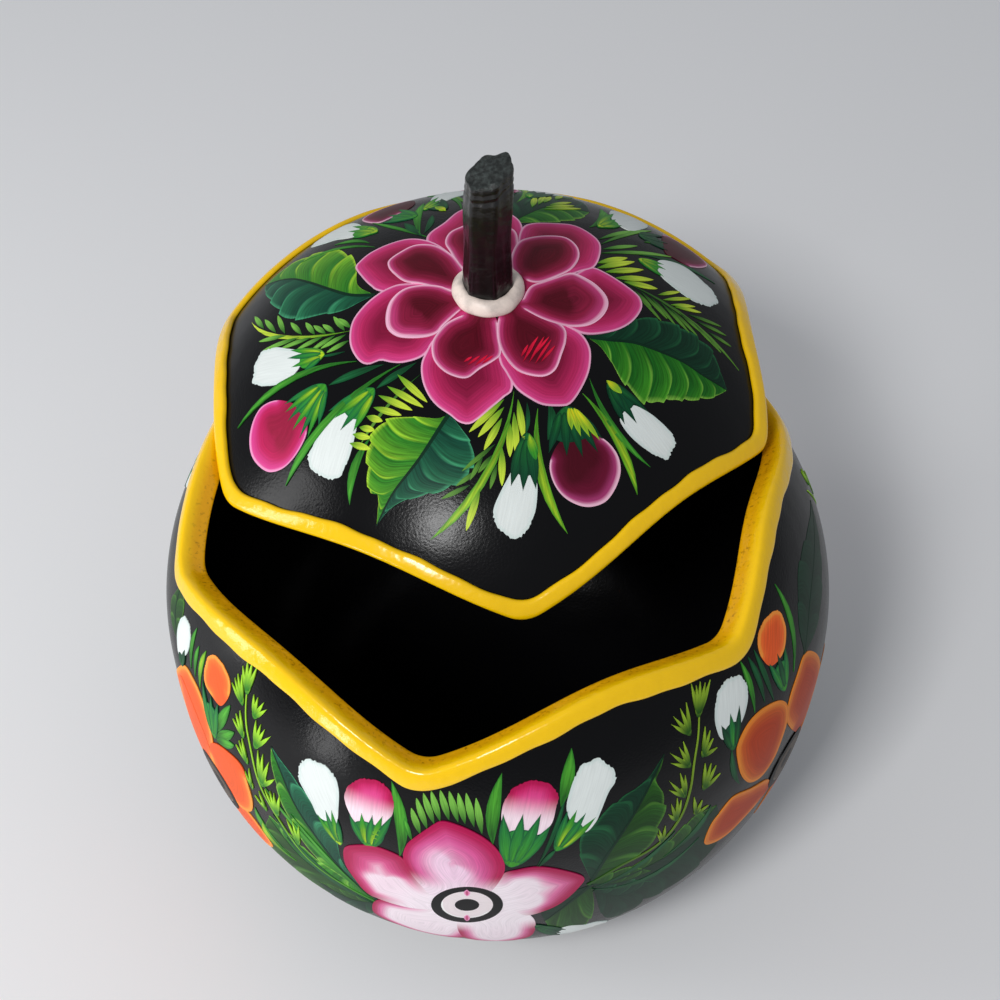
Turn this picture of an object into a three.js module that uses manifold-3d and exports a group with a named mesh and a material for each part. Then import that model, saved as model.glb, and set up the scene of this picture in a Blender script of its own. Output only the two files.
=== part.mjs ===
// A round lacquered gourd box: the gourd is cut across by a scalloped line into a bowl and a lid,
// both edges carry a thick enamel bead, and the lid has a stalk for a handle, glued in a hole
// with a collar round it. The lid lies askew on the bowl, turned and pushed back, so that the
// bowl stands open at the front.
//
// Millimetres, +Z up, front towards -Y. The origin is the middle of the flat foot.
// The gourd is a solid of revolution in polar form about its centre, on the belt's level: the
// outer skin's distance from the centre depends on the latitude alone, and the wall is taken
// off along that same line. Azimuths go anticlockwise seen from above, latitudes up from the belt.

import * as THREE from 'three';
import { mergeVertices } from 'three/addons/utils/BufferGeometryUtils.js';
import Module from 'manifold-3d';

// The gourd
const beltRadius = 75;
const crownHeight = 62;
const keelDepth = 75.5;
const crownPower = 2;
const keelPower = 2.7;
const wall = 4.2;
const footHeight = 1;

// The cut: each low point's azimuth, its rise above the belt and the arch from it to the next,
// both as shares of the crown's height
const scallops = [
  { azimuth: 23, rise: 0.45, arch: 0.11 },
  { azimuth: 83, rise: 0.435, arch: 0.11 },
  { azimuth: 143, rise: 0.42, arch: 0.1 },
  { azimuth: 193, rise: 0.41, arch: 0.13 },
  { azimuth: 257, rise: 0.435, arch: 0.13 },
  { azimuth: 320, rise: 0.565, arch: 0.155 },
];
const cutClearance = 0.3;

// The enamel bead on each edge: a web over the cut and a skirt down the outside
const beadThickness = 1;
const beadClearance = 0.3;
const beadCrown = 0.4;
const bowlBeadWidth = 4.4;
const lidBeadWidth = 4;

// The stalk: a faceted stub on a round peg, off the crown's middle, its top sawn off aslant
const stalkAzimuth = 214;
const stalkOffset = 6;
const stalkHeight = 33;
const stalkRadius = 5.3;
const stalkSides = 6;
const stalkSlant = 2;
const stalkLean = [1, 0];
const pegRadius = 3.4;
const pegClearance = 0.3;

// The collar round the stalk's foot
const collarOuterRadius = 8.4;
const collarThickness = 4.2;
const collarClearance = 0.3;
const collarShoulder = 0.6;
const collarLip = 0.8;

// How the lid lies: turned by degrees about X, Y and Z, moved across, and let down on the bowl.
// The rest gap is upright, where two edges cross, so a little less is left square to them.
const lidTurn = [-4.5, 1.1, 17.4];
const lidShift = [0, 31.8];
const restGap = 0.45;

// How finely the surfaces are divided
const stepsPerScallop = 13;
const bowlRows = 11;
const lidRows = 8;
const roundSteps = 30;

const degrees = THREE.MathUtils.degToRad;
const mix = THREE.MathUtils.lerp;
const centreHeight = keelDepth - footHeight;

// The skin's distance from the gourd's centre at a latitude: a superellipse, fuller under the belt
function reach(latitude) {
  const above = latitude >= 0;
  const tall = above ? crownHeight : keelDepth;
  const power = above ? crownPower : keelPower;
  const across = Math.abs(Math.cos(latitude)) / beltRadius;
  const along = Math.abs(Math.sin(latitude)) / tall;
  return (across ** power + along ** power) ** (-1 / power);
}

// The point at an azimuth and a latitude, lift millimetres outside the skin along the same line
function skinPoint(azimuth, latitude, lift) {
  const distance = reach(latitude) + lift;
  return [
    distance * Math.cos(latitude) * Math.cos(azimuth),
    distance * Math.cos(latitude) * Math.sin(azimuth),
    distance * Math.sin(latitude),
  ];
}

// The latitude in a range where the skin stands at a height above the belt, by halving
function latitudeAtHeight(height, low, high) {
  const halvings = 40;
  let below = low;
  let above = high;
  for (let step = 0; step < halvings; step += 1) {
    const middle = (below + above) / 2;
    if (reach(middle) * Math.sin(middle) < height) below = middle;
    else above = middle;
  }
  return (below + above) / 2;
}

// The latitude in the crown where the skin is a distance from the axis
function crownLatitude(radius) {
  const height = crownHeight * (1 - (radius / beltRadius) ** crownPower) ** (1 / crownPower);
  return Math.atan2(height, radius);
}

// How far the skin leans out from level at a distance from the axis, in radians
function crownSlope(radius) {
  const step = 0.01;
  const rise = (at) => at * Math.tan(crownLatitude(at));
  return Math.atan2(rise(radius - step) - rise(radius + step), 2 * step);
}

// The cut as a list of azimuths and latitudes, each low point met exactly
function cutLine() {
  const line = [];
  scallops.forEach((low, index) => {
    const next = scallops[(index + 1) % scallops.length];
    const span = (next.azimuth - low.azimuth + 360) % 360;
    for (let step = 0; step < stepsPerScallop; step += 1) {
      const along = step / stepsPerScallop;
      const rise = mix(low.rise, next.rise, along) + low.arch * Math.sin(Math.PI * along);
      const azimuth = degrees(low.azimuth + span * along);
      const latitude = latitudeAtHeight(rise * crownHeight, 0, Math.PI / 2);
      line.push({ azimuth, latitude });
    }
  });
  return line;
}

const cut = cutLine();

// A closed solid from rings of points that all have the same count, or one point at a pole
function solidFromRings(rings, closed) {
  const positions = [];
  const starts = rings.map((ring) => {
    const start = positions.length / 3;
    ring.forEach((point) => positions.push(...point));
    return start;
  });
  const triangles = [];
  const bands = closed ? rings.length : rings.length - 1;
  for (let row = 0; row < bands; row += 1) {
    const upper = (row + 1) % rings.length;
    const lowerPole = rings[row].length === 1;
    const upperPole = rings[upper].length === 1;
    for (let step = 0; step < cut.length; step += 1) {
      const turn = (step + 1) % cut.length;
      const a = starts[row] + (lowerPole ? 0 : step);
      const b = starts[row] + (lowerPole ? 0 : turn);
      const c = starts[upper] + (upperPole ? 0 : turn);
      const d = starts[upper] + (upperPole ? 0 : step);
      if (!lowerPole) triangles.push(a, b, c);
      if (!upperPole) triangles.push(a, c, d);
    }
  }
  const geometry = new THREE.BufferGeometry();
  geometry.setAttribute('position', new THREE.Float32BufferAttribute(positions, 3));
  geometry.setIndex(triangles);
  return geometry;
}

// One ring of points along the cut, arc millimetres above it and lift millimetres off the skin
function cutRing(arc, lift) {
  return cut.map(({ azimuth, latitude }) => {
    const moved = latitude + arc / reach(latitude);
    return skinPoint(azimuth, moved, lift);
  });
}

// One ring of points a share of the way from a latitude to the shell's edge, arc above the cut
function shellRing(from, share, arc, lift) {
  return cut.map(({ azimuth, latitude }) => {
    const edge = latitude + arc / reach(latitude);
    return skinPoint(azimuth, mix(from, edge, share), lift);
  });
}

// How far each shell stops short of the cut, for the bead's web and the gaps
const shellSetBack = cutClearance / 2 + beadThickness + beadClearance;

function bowlShell() {
  const footLatitude = latitudeAtHeight(-centreHeight, degrees(-90), 0);
  const rings = [[[0, 0, -centreHeight]]];
  for (let row = 0; row <= bowlRows; row += 1) {
    rings.push(shellRing(footLatitude, row / bowlRows, -shellSetBack, 0));
  }
  for (let row = bowlRows; row > 0; row -= 1) {
    rings.push(shellRing(degrees(-90), row / bowlRows, -shellSetBack, -wall));
  }
  rings.push([[0, 0, -keelDepth + wall]]);
  return solidFromRings(rings, false);
}

function lidDome() {
  const rings = [[[0, 0, crownHeight - wall]]];
  for (let row = 1; row <= lidRows; row += 1) {
    rings.push(shellRing(degrees(90), row / lidRows, shellSetBack, -wall));
  }
  for (let row = lidRows; row > 0; row -= 1) {
    rings.push(shellRing(degrees(90), row / lidRows, shellSetBack, 0));
  }
  rings.push([[0, 0, crownHeight]]);
  return solidFromRings(rings, false);
}

// A bead's section is an L; side is 1 under the cut, on the bowl, and -1 above it, on the lid
function edgeBead(width, side) {
  const face = -side * (cutClearance / 2);
  const web = face - side * beadThickness;
  const hem = face - side * width;
  const outside = beadClearance + beadThickness;
  const rings = [
    cutRing(face, -wall),
    cutRing(web, -wall),
    cutRing(web, beadClearance),
    cutRing(hem, beadClearance),
    cutRing(hem, outside),
    cutRing(web, outside + beadCrown),
    cutRing(face, outside - beadCrown),
  ];
  if (side < 0) rings.reverse();
  return solidFromRings(rings, true);
}

const wasm = await Module();
wasm.setup();

function toSolid(geometry) {
  const bare = geometry.clone();
  bare.deleteAttribute('normal');
  bare.deleteAttribute('uv');
  const merged = mergeVertices(bare);
  return new wasm.Manifold(new wasm.Mesh({
    numProp: 3,
    vertProperties: merged.attributes.position.array,
    triVerts: new Uint32Array(merged.index.array),
  }));
}

function toGeometry(solid) {
  const mesh = solid.getMesh();
  const geometry = new THREE.BufferGeometry();
  geometry.setAttribute('position', new THREE.BufferAttribute(mesh.vertProperties, 3));
  geometry.setIndex(new THREE.BufferAttribute(mesh.triVerts, 1));
  return geometry;
}

// A turned shape standing on its axis, from radius and height pairs
function lathe(profile) {
  const points = profile.map(([radius, height]) => new THREE.Vector2(radius, height));
  return new THREE.LatheGeometry(points, roundSteps).rotateX(Math.PI / 2);
}

// The stalk's seat on the lid's skin, its Z square to the skin
function stalkSeat() {
  const azimuth = degrees(stalkAzimuth);
  const seat = new THREE.Group();
  seat.position.set(...skinPoint(azimuth, crownLatitude(stalkOffset), 0));
  const hinge = new THREE.Vector3(-Math.sin(azimuth), Math.cos(azimuth), 0);
  seat.quaternion.setFromAxisAngle(hinge, crownSlope(stalkOffset));
  seat.updateMatrix();
  return seat;
}

function lidShell(seat) {
  const hole = pegRadius + pegClearance;
  const drill = lathe([
    [0, -2 * wall],
    [hole, -2 * wall],
    [hole, wall],
    [0, wall],
  ]);
  drill.applyMatrix4(seat.matrix);
  return toGeometry(toSolid(lidDome()).subtract(toSolid(drill)));
}

// The peg fills the hole from the lid's inner skin up to the stub, which stands off the skin
function stalk() {
  const peg = lathe([
    [0, -wall],
    [pegRadius, -wall],
    [pegRadius, pegClearance + pegRadius],
    [0, pegClearance + pegRadius],
  ]);
  const stub = new THREE.CylinderGeometry(stalkRadius, stalkRadius, stalkHeight, stalkSides, 1);
  stub.rotateX(Math.PI / 2).translate(0, 0, pegClearance + stalkHeight / 2);
  const places = stub.attributes.position;
  for (let index = 0; index < places.count; index += 1) {
    if (places.getZ(index) > stalkHeight / 2) {
      const slant = (places.getX(index) / stalkRadius) * stalkSlant;
      places.setZ(index, places.getZ(index) + slant);
      places.setX(index, places.getX(index) + stalkLean[0]);
      places.setY(index, places.getY(index) + stalkLean[1]);
    }
  }
  return toGeometry(toSolid(peg).add(toSolid(stub)));
}

// A rounded ring round the stub, its underside following the dome
function collar() {
  const inner = stalkRadius + collarClearance;
  const domeRadius = beltRadius ** 2 / crownHeight;
  const foot = (radius) => collarClearance - radius ** 2 / (2 * domeRadius);
  const top = foot(inner) + collarThickness;
  const middle = (inner + collarOuterRadius) / 2;
  return lathe([
    [inner, foot(inner)],
    [collarOuterRadius, foot(collarOuterRadius)],
    [collarOuterRadius, mix(foot(collarOuterRadius), top, collarShoulder)],
    [middle, top],
    [inner, mix(foot(inner), top, collarLip)],
    [inner, foot(inner)],
  ]);
}

const group = new THREE.Group();

function addPiece(parent, name, geometry, finish) {
  const mesh = new THREE.Mesh(geometry, new THREE.MeshStandardMaterial(finish));
  mesh.name = name;
  parent.add(mesh);
}

const lacquer = { color: 0x101012, roughness: 0.2, metalness: 0 };
const enamel = { color: 0xffc400, roughness: 0.3, metalness: 0 };
const stain = { color: 0x0c0d0c, roughness: 0.25, metalness: 0 };
const putty = { color: 0xf3e3d3, roughness: 0.5, metalness: 0 };

const bowl = new THREE.Group();
bowl.position.set(0, 0, centreHeight);
addPiece(bowl, 'bowl_shell', bowlShell(), lacquer);
addPiece(bowl, 'bowl_rim_bead', edgeBead(bowlBeadWidth, 1), enamel);
group.add(bowl);

const lid = new THREE.Group();
lid.position.set(lidShift[0], lidShift[1], centreHeight);
lid.rotation.set(...lidTurn.map(degrees));
const seat = stalkSeat();
addPiece(lid, 'lid_shell', lidShell(seat), lacquer);
addPiece(lid, 'lid_rim_bead', edgeBead(lidBeadWidth, -1), enamel);
addPiece(seat, 'stalk_handle', stalk(), stain);
addPiece(seat, 'stalk_collar', collar(), putty);
lid.add(seat);
group.add(lid);

// The edges of one bead that can touch the other, in the gourd's frame of a group
function beadEdges(side, holder) {
  holder.updateMatrix();
  const face = -side * (cutClearance / 2);
  const outside = beadClearance + beadThickness;
  const edges = [
    cutRing(face, -wall),
    cutRing(face, outside - beadCrown),
    cutRing(face - side * beadThickness, outside + beadCrown),
  ];
  return edges.map((ring) => ring.map((point) => (
    new THREE.Vector3(...point).applyMatrix4(holder.matrix)
  )));
}

// The height of one edge's segment over another's where they cross seen from above, or nothing
function heightAtCrossing(a, b, c, d) {
  const across = (b.x - a.x) * (d.y - c.y) - (b.y - a.y) * (d.x - c.x);
  if (across === 0) return null;
  const onFirst = ((c.x - a.x) * (d.y - c.y) - (c.y - a.y) * (d.x - c.x)) / across;
  const onSecond = ((c.x - a.x) * (b.y - a.y) - (c.y - a.y) * (b.x - a.x)) / across;
  if (Math.min(onFirst, onSecond) < 0 || Math.max(onFirst, onSecond) > 1) return null;
  return mix(a.z, b.z, onFirst) - mix(c.z, d.z, onSecond);
}

// The lid comes down until a pair of crossing edges is the rest gap apart
function lowerLid() {
  let rise = -Infinity;
  const next = (ring, index) => ring[(index + 1) % ring.length];
  for (const low of beadEdges(1, bowl)) {
    for (const high of beadEdges(-1, lid)) {
      low.forEach((a, i) => high.forEach((c, j) => {
        const height = heightAtCrossing(a, next(low, i), c, next(high, j));
        if (height !== null) rise = Math.max(rise, height);
      }));
    }
  }
  lid.position.z += rise + restGap;
}

lowerLid();

export default group;
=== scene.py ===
"""A lacquered gourd box, painted with flowers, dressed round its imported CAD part.

The gourd is cut across by a scalloped line into a bowl and a lid. Shells, enamel beads, stalk and
collar are worked out here from the same sizes as the part, only finer, and the painting is laid on
the skin as strokes of paint, each a closed film that lies a few hundredths of a millimetre higher
for every layer under it.

Lengths are in millimetres until a mesh is made, angles in radians unless a name says degrees.
The row frame is the part's: +Z up, -Y to the open front, the origin under the middle of the foot.
"""

import logging
from dataclasses import dataclass, field, replace
from enum import Enum
from functools import partial
from typing import Callable

import bpy
import numpy as np
from mathutils import Matrix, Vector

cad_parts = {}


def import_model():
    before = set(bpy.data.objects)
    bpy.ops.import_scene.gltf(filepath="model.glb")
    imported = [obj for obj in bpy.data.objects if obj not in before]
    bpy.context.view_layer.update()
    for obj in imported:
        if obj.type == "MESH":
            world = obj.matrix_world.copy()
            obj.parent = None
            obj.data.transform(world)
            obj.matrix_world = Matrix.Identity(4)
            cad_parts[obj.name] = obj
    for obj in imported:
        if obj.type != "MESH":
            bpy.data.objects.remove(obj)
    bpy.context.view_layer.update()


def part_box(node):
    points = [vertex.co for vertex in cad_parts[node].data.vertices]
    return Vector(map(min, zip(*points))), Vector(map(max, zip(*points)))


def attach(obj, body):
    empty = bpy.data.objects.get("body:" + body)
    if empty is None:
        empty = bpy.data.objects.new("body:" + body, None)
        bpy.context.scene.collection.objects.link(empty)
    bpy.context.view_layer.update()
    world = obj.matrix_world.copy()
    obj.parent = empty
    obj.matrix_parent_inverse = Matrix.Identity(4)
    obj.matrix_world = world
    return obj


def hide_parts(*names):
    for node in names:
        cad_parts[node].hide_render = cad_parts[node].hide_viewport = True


MM = 0.001
Array = np.ndarray
# Pixels of the photograph as x, y, x, y and so on
Pixels = tuple[float, ...]
log = logging.getLogger("gourd_box")


def linear(ink: str) -> Array:
    """Turns an sRGB hex colour to linear light.

    Args:
        ink: A colour such as "#FFC400".

    Returns:
        Red, green, blue and an alpha of 1.
    """
    srgb = np.array([int(ink[place : place + 2], 16) for place in (1, 3, 5)]) / 255
    light = np.where(srgb <= 0.04045, srgb / 12.92, ((srgb + 0.055) / 1.055) ** 2.4)
    return np.append(light, 1.0)


def ease(start: float, end: float, value: Array) -> Array:
    """A smooth step: 0 at start, 1 at end, cubic between; start may be the larger."""
    share = np.clip((value - start) / (end - start), 0, 1)
    return share * share * (3 - 2 * share)


def blend(first: Array, second: Array, share: Array) -> Array:
    """Mixes two colours, or arrays of them, by an array of shares."""
    return first + (second - first) * share[..., None]


def unit(vectors: Array) -> Array:
    """Vectors at length 1."""
    return vectors / np.linalg.norm(vectors, axis=-1, keepdims=True)


def ring_faces(rings: int, count: int, closed: bool) -> Array:
    """Quads between neighbouring rings of points.

    Args:
        rings: How many rings.
        count: Points in each ring, which goes round.
        closed: Whether the last ring joins the first.

    Returns:
        Rows of four indices.
    """
    row = np.arange(rings if closed else rings - 1)[:, None]
    step = np.arange(count)[None]
    turn = (step + 1) % count
    above = (row + 1) % rings
    corners = [row * count + step, row * count + turn, above * count + turn, above * count + step]
    return np.stack(corners, -1).reshape(-1, 4)


def pole_faces(pole: int, start: int, count: int, under: bool) -> list[list[int]]:
    """Triangles from a pole to the ring that starts at an index; under is for the first ring."""
    step = np.arange(count)
    turn = (step + 1) % count
    middle = np.full(count, pole)
    corners = [middle, start + turn, start + step] if under else [middle, start + step, start + turn]
    return np.stack(corners, -1).tolist()


def capped_faces(rings: int, count: int) -> list[list[int]]:
    """The faces of rings closed at both ends by a pole; the two poles follow the last ring."""
    faces = ring_faces(rings, count, False).tolist()
    faces += pole_faces(rings * count, 0, count, True)
    return faces + pole_faces(rings * count + 1, (rings - 1) * count, count, False)


def rounded(outline: Array, times: int = 3) -> Array:
    """Rounds a closed outline by cutting its corners a quarter of each side away, several times."""
    for _ in range(times):
        after = np.roll(outline, -1, axis=0)
        outline = np.stack([0.75 * outline + 0.25 * after, 0.25 * outline + 0.75 * after], 1).reshape(-1, 2)
    return outline


@dataclass(frozen=True)
class Gourd:
    """The gourd's outer form: a solid of revolution in polar form about its centre at belt level."""

    belt_radius: float = 75.0
    crown_height: float = 62.0
    keel_depth: float = 75.5
    crown_power: float = 2.0
    keel_power: float = 2.7
    wall: float = 4.2
    foot_height: float = 1.0

    @property
    def centre_height(self) -> float:
        """The centre's height above the table."""
        return self.keel_depth - self.foot_height

    def reach(self, latitude: Array) -> Array:
        """The skin's distance from the centre: a superellipse, fuller under the belt."""
        above = latitude >= 0
        tall = np.where(above, self.crown_height, self.keel_depth)
        power = np.where(above, self.crown_power, self.keel_power)
        across = np.abs(np.cos(latitude)) / self.belt_radius
        along = np.abs(np.sin(latitude)) / tall
        return (across**power + along**power) ** (-1 / power)

    def onto(self, directions: Array, lift: Array | float = 0.0) -> Array:
        """Points where lines from the centre along the directions meet the skin, lift outside it."""
        along = unit(directions)
        latitude = np.arcsin(np.clip(along[..., 2], -1, 1))
        return along * (self.reach(latitude) + lift)[..., None]

    def skin(self, azimuth: Array, latitude: Array, lift: Array | float = 0.0) -> Array:
        """Points of the skin at azimuths and latitudes, lift outside it."""
        return self.onto(bearing(azimuth, latitude), lift)


def bearing(azimuth: Array | float, latitude: Array | float) -> Array:
    """The direction from the centre at an azimuth and a latitude."""
    azimuth, latitude = np.broadcast_arrays(azimuth, latitude)
    level = np.cos(latitude)
    return np.stack([level * np.cos(azimuth), level * np.sin(azimuth), np.sin(latitude)], -1)


@dataclass(frozen=True)
class Cut:
    """The scalloped line between bowl and lid: low points with arches of a sine between them."""

    gourd: Gourd
    lows_degrees: tuple[float, ...] = (23, 83, 143, 193, 257, 320)
    rises: tuple[float, ...] = (0.45, 0.435, 0.42, 0.41, 0.435, 0.565)
    arches: tuple[float, ...] = (0.11, 0.11, 0.1, 0.13, 0.13, 0.155)
    corner_degrees: float = 2.6
    corner_samples: int = 9

    def sharp(self, azimuth: Array) -> Array:
        """The line's latitude, with its corners sharp; rises are shares of the crown's height."""
        lows = np.array(self.lows_degrees + (self.lows_degrees[0] + 360,))
        rises = np.array(self.rises + self.rises[:1])
        turned = (np.degrees(azimuth) - lows[0]) % 360 + lows[0]
        index = np.clip(np.searchsorted(lows, turned, side="right") - 1, 0, len(self.rises) - 1)
        along = (turned - lows[index]) / (lows[index + 1] - lows[index])
        level = rises[index] * (1 - along) + rises[index + 1] * along
        rise = level + np.array(self.arches)[index] * np.sin(np.pi * along)
        return np.arctan2(rise * self.gourd.crown_height, self.gourd.belt_radius * np.sqrt(1 - rise**2))

    def latitude(self, azimuth: Array) -> Array:
        """The line's latitude with rounded corners: the mean of the sharp line a little to each side."""
        reach = np.radians(self.corner_degrees)
        offsets = np.linspace(-reach, reach, self.corner_samples)
        return np.mean([self.sharp(azimuth + offset) for offset in offsets], axis=0)


@dataclass(frozen=True)
class Placing:
    """Where one half of the gourd lies in the row frame."""

    turn: Array
    centre: Array

    def to_row(self, points: Array) -> Array:
        """Takes points from the gourd's own axes to the row frame."""
        return points @ self.turn.T + self.centre

    def to_gourd(self, vectors: Array) -> Array:
        """Takes directions from the row frame to the gourd's own axes."""
        return vectors @ self.turn


def euler(degrees: tuple[float, float, float]) -> Array:
    """The rotation that turns about Z, then Y, then X, from angles about X, Y and Z in degrees."""
    about_x, about_y, about_z = (
        np.array(Matrix.Rotation(np.radians(angle), 3, axis)) for angle, axis in zip(degrees, "XYZ")
    )
    return about_x @ about_y @ about_z


@dataclass(frozen=True)
class PhotoView:
    """The photograph's camera, fitted to the outline of the bowl and the lid."""

    elevation_degrees: float = 51.88
    roll_degrees: float = 0.49
    distance: float = 424.4
    focal_pixels: float = 1965.2
    target: tuple[float, float, float] = (0.33, 0.0, 104.2)
    frame_pixels: float = 1000.0
    sensor: float = 36.0
    over_edge: float = 2.4
    halvings: int = 40

    def axes(self) -> Array:
        """The camera's right, up and back directions as rows."""
        up_angle, roll = np.radians([self.elevation_degrees, self.roll_degrees])
        back = np.array([0, -np.cos(up_angle), np.sin(up_angle)])
        right = np.array([1.0, 0, 0])
        up = np.array([0, np.sin(up_angle), np.cos(up_angle)])
        cosine, sine = np.cos(roll), np.sin(roll)
        return np.array([right * cosine + up * sine, up * cosine - right * sine, back])

    def eye(self) -> Array:
        """The camera's place."""
        return np.array(self.target) + self.axes()[2] * self.distance

    def directions(self, pixels: Array, gourd: Gourd, placing: Placing) -> Array:
        """Finds what a half's skin shows at pixels of the photograph.

        A point goes down each pixel's ray to the ray's nearest place to the centre, or to where it
        first comes inside the skin, by halving. A pixel outside the outline is taken over the edge
        to the side out of sight, the further the more its ray misses the skin.

        Args:
            pixels: Rows of x and y, from the frame's top left corner.
            gourd: The form.
            placing: Where the half lies.

        Returns:
            Directions from the gourd's centre, in its own axes.
        """
        right, up, back = self.axes()
        offset = (pixels - self.frame_pixels / 2) / self.focal_pixels
        ray = unit(placing.to_gourd(offset[:, :1] * right - offset[:, 1:] * up - back))
        start = placing.to_gourd(self.eye() - placing.centre)
        far = -ray @ start
        near = far - 2 * gourd.belt_radius
        for _ in range(self.halvings):
            middle = (near + far) / 2
            point = start + ray * middle[:, None]
            distance = np.linalg.norm(point, axis=-1)
            inside = distance < gourd.reach(np.arcsin(point[:, 2] / distance))
            far = np.where(inside, middle, far)
            near = np.where(inside, near, middle)
        nearest = start + ray * far[:, None]
        facing = unit(nearest)
        miss = np.linalg.norm(nearest, axis=-1) / gourd.reach(np.arcsin(facing[:, 2])) - 1
        turn = self.over_edge * np.maximum(miss, 0)[:, None]
        return facing * np.cos(turn) + ray * np.sin(turn)

    def add_camera(self) -> None:
        """Adds the camera to the scene and makes it the scene's own."""
        data = bpy.data.cameras.new("photo_camera")
        data.lens = self.focal_pixels / self.frame_pixels * self.sensor
        data.sensor_width = self.sensor
        data.clip_start = 0.01
        camera = bpy.data.objects.new("photo_camera", data)
        place = Matrix(self.axes().T.tolist()).to_4x4()
        place.translation = self.eye() * MM
        camera.matrix_world = place
        bpy.context.collection.objects.link(camera)
        bpy.context.scene.camera = camera


def add_node(tree: bpy.types.NodeTree, kind: str, inputs: dict | None = None, **settings) -> bpy.types.Node:
    """Adds a node to a tree.

    Args:
        tree: The material's or the world's tree.
        kind: The node's type, without the word ShaderNode in front of it.
        inputs: Values or output sockets by input name or number.
        **settings: The node's own settings.

    Returns:
        The node.
    """
    node = tree.nodes.new("ShaderNode" + kind)
    for name, value in settings.items():
        setattr(node, name, value)
    for socket, value in (inputs or {}).items():
        if isinstance(value, bpy.types.NodeSocket):
            tree.links.new(value, node.inputs[socket])
        else:
            node.inputs[socket].default_value = value
    return node


def new_material(name: str) -> tuple[bpy.types.Material, Callable]:
    """An empty material with nodes, and add_node for its tree."""
    material = bpy.data.materials.new(name)
    material.use_nodes = True
    material.node_tree.nodes.clear()
    return material, partial(add_node, material.node_tree)


def per_metre(millimetres: float) -> float:
    """The texture scale at which a pattern on Object coordinates repeats about every so many mm."""
    return 1 / (millimetres * MM)


def rubbed_shine(add: Callable, level: float) -> bpy.types.NodeSocket:
    """A specular level that dies away towards the outline, where rubbed oil lacquer shows no haze."""
    facing = add("LayerWeight", {"Blend": 0.5}).outputs["Facing"]
    reach = {"Value": facing, "From Min": 0.5, "From Max": 0.82, "To Min": level, "To Max": 0.03}
    return add("MapRange", reach).outputs["Result"]


@dataclass(frozen=True)
class BlackLacquer:
    """Black oil lacquer rubbed onto a dried gourd by hand.

    It is polished but not flat: broad dents of the gourd bend the highlights and fine rubbing marks
    break them up. Real rubbing marks are finer, and these are drawn coarser so that they show.
    """

    colour: str = "#08080A"
    roughness: float = 0.21
    specular: float = 0.18
    dents: float = 16.0
    rubbing: float = 0.55
    name: str = "black_lacquer_on_gourd"

    def build(self) -> bpy.types.Material:
        """Makes the material: two noises, one for dents and one for rubbing, bend the surface."""
        material, add = new_material(self.name)
        place = add("TexCoord").outputs["Object"]
        dents = add("TexNoise", {"Vector": place, "Scale": per_metre(self.dents), "Detail": 2.0})
        rubbing = add("TexNoise", {"Vector": place, "Scale": per_metre(self.rubbing), "Detail": 3.0})
        broad = add("Bump", {"Height": dents.outputs["Fac"], "Strength": 0.25, "Distance": 1.2 * MM})
        relief = {"Height": rubbing.outputs["Fac"], "Strength": 0.6, "Distance": 0.06 * MM}
        fine = add("Bump", {**relief, "Normal": broad.outputs["Normal"]})
        surface = {"Roughness": self.roughness, "Specular IOR Level": rubbed_shine(add, self.specular)}
        looks = {"Base Color": linear(self.colour), "Normal": fine.outputs["Normal"]}
        shader = add("BsdfPrincipled", {**looks, **surface})
        add("OutputMaterial", {"Surface": shader.outputs["BSDF"]})
        return material


@dataclass(frozen=True)
class BrushedPaint:
    """Oil colours brushed on the lacquer in single strokes.

    The colour comes from the stroke's own attribute, and hair marks of the brush run along it, as
    strong as the attribute's alpha says. They are a few times as wide as real hairs, so that they show.
    """

    roughness: float = 0.36
    specular: float = 0.12
    hair: float = 0.34
    hair_length: float = 7.0
    depth: float = 0.24
    name: str = "brushed_oil_paint"

    def build(self) -> bpy.types.Material:
        """Makes the material: a noise drawn out along the stroke darkens and lightens its colour."""
        material, add = new_material(self.name)
        ink = add("Attribute", attribute_name="ink")
        stroke = add("UVMap", uv_map="stroke").outputs["UV"]
        drawn = add("Mapping", {"Vector": stroke, "Scale": (1 / self.hair_length, 1 / self.hair, 1.0)})
        noise = add("TexNoise", {"Vector": drawn.outputs["Vector"], "Scale": 1.0, "Detail": 2.0})
        hairs = noise.outputs["Fac"]
        reach = {"From Min": 0.3, "From Max": 0.7, "To Min": -self.depth, "To Max": self.depth}
        shade = add("MapRange", {"Value": hairs, **reach}).outputs["Result"]
        gain = add("Math", {0: shade, 1: ink.outputs["Alpha"], 2: 1.0}, operation="MULTIPLY_ADD")
        tinted = {0: ink.outputs["Color"], 1: gain.outputs["Value"]}
        colour = add("VectorMath", tinted, operation="MULTIPLY").outputs["Vector"]
        bump = add("Bump", {"Height": hairs, "Strength": 0.25, "Distance": 0.05 * MM})
        looks = {"Base Color": colour, "Roughness": self.roughness, "Normal": bump.outputs["Normal"]}
        shader = add("BsdfPrincipled", {**looks, "Specular IOR Level": rubbed_shine(add, self.specular)})
        add("OutputMaterial", {"Surface": shader.outputs["BSDF"]})
        return material


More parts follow.
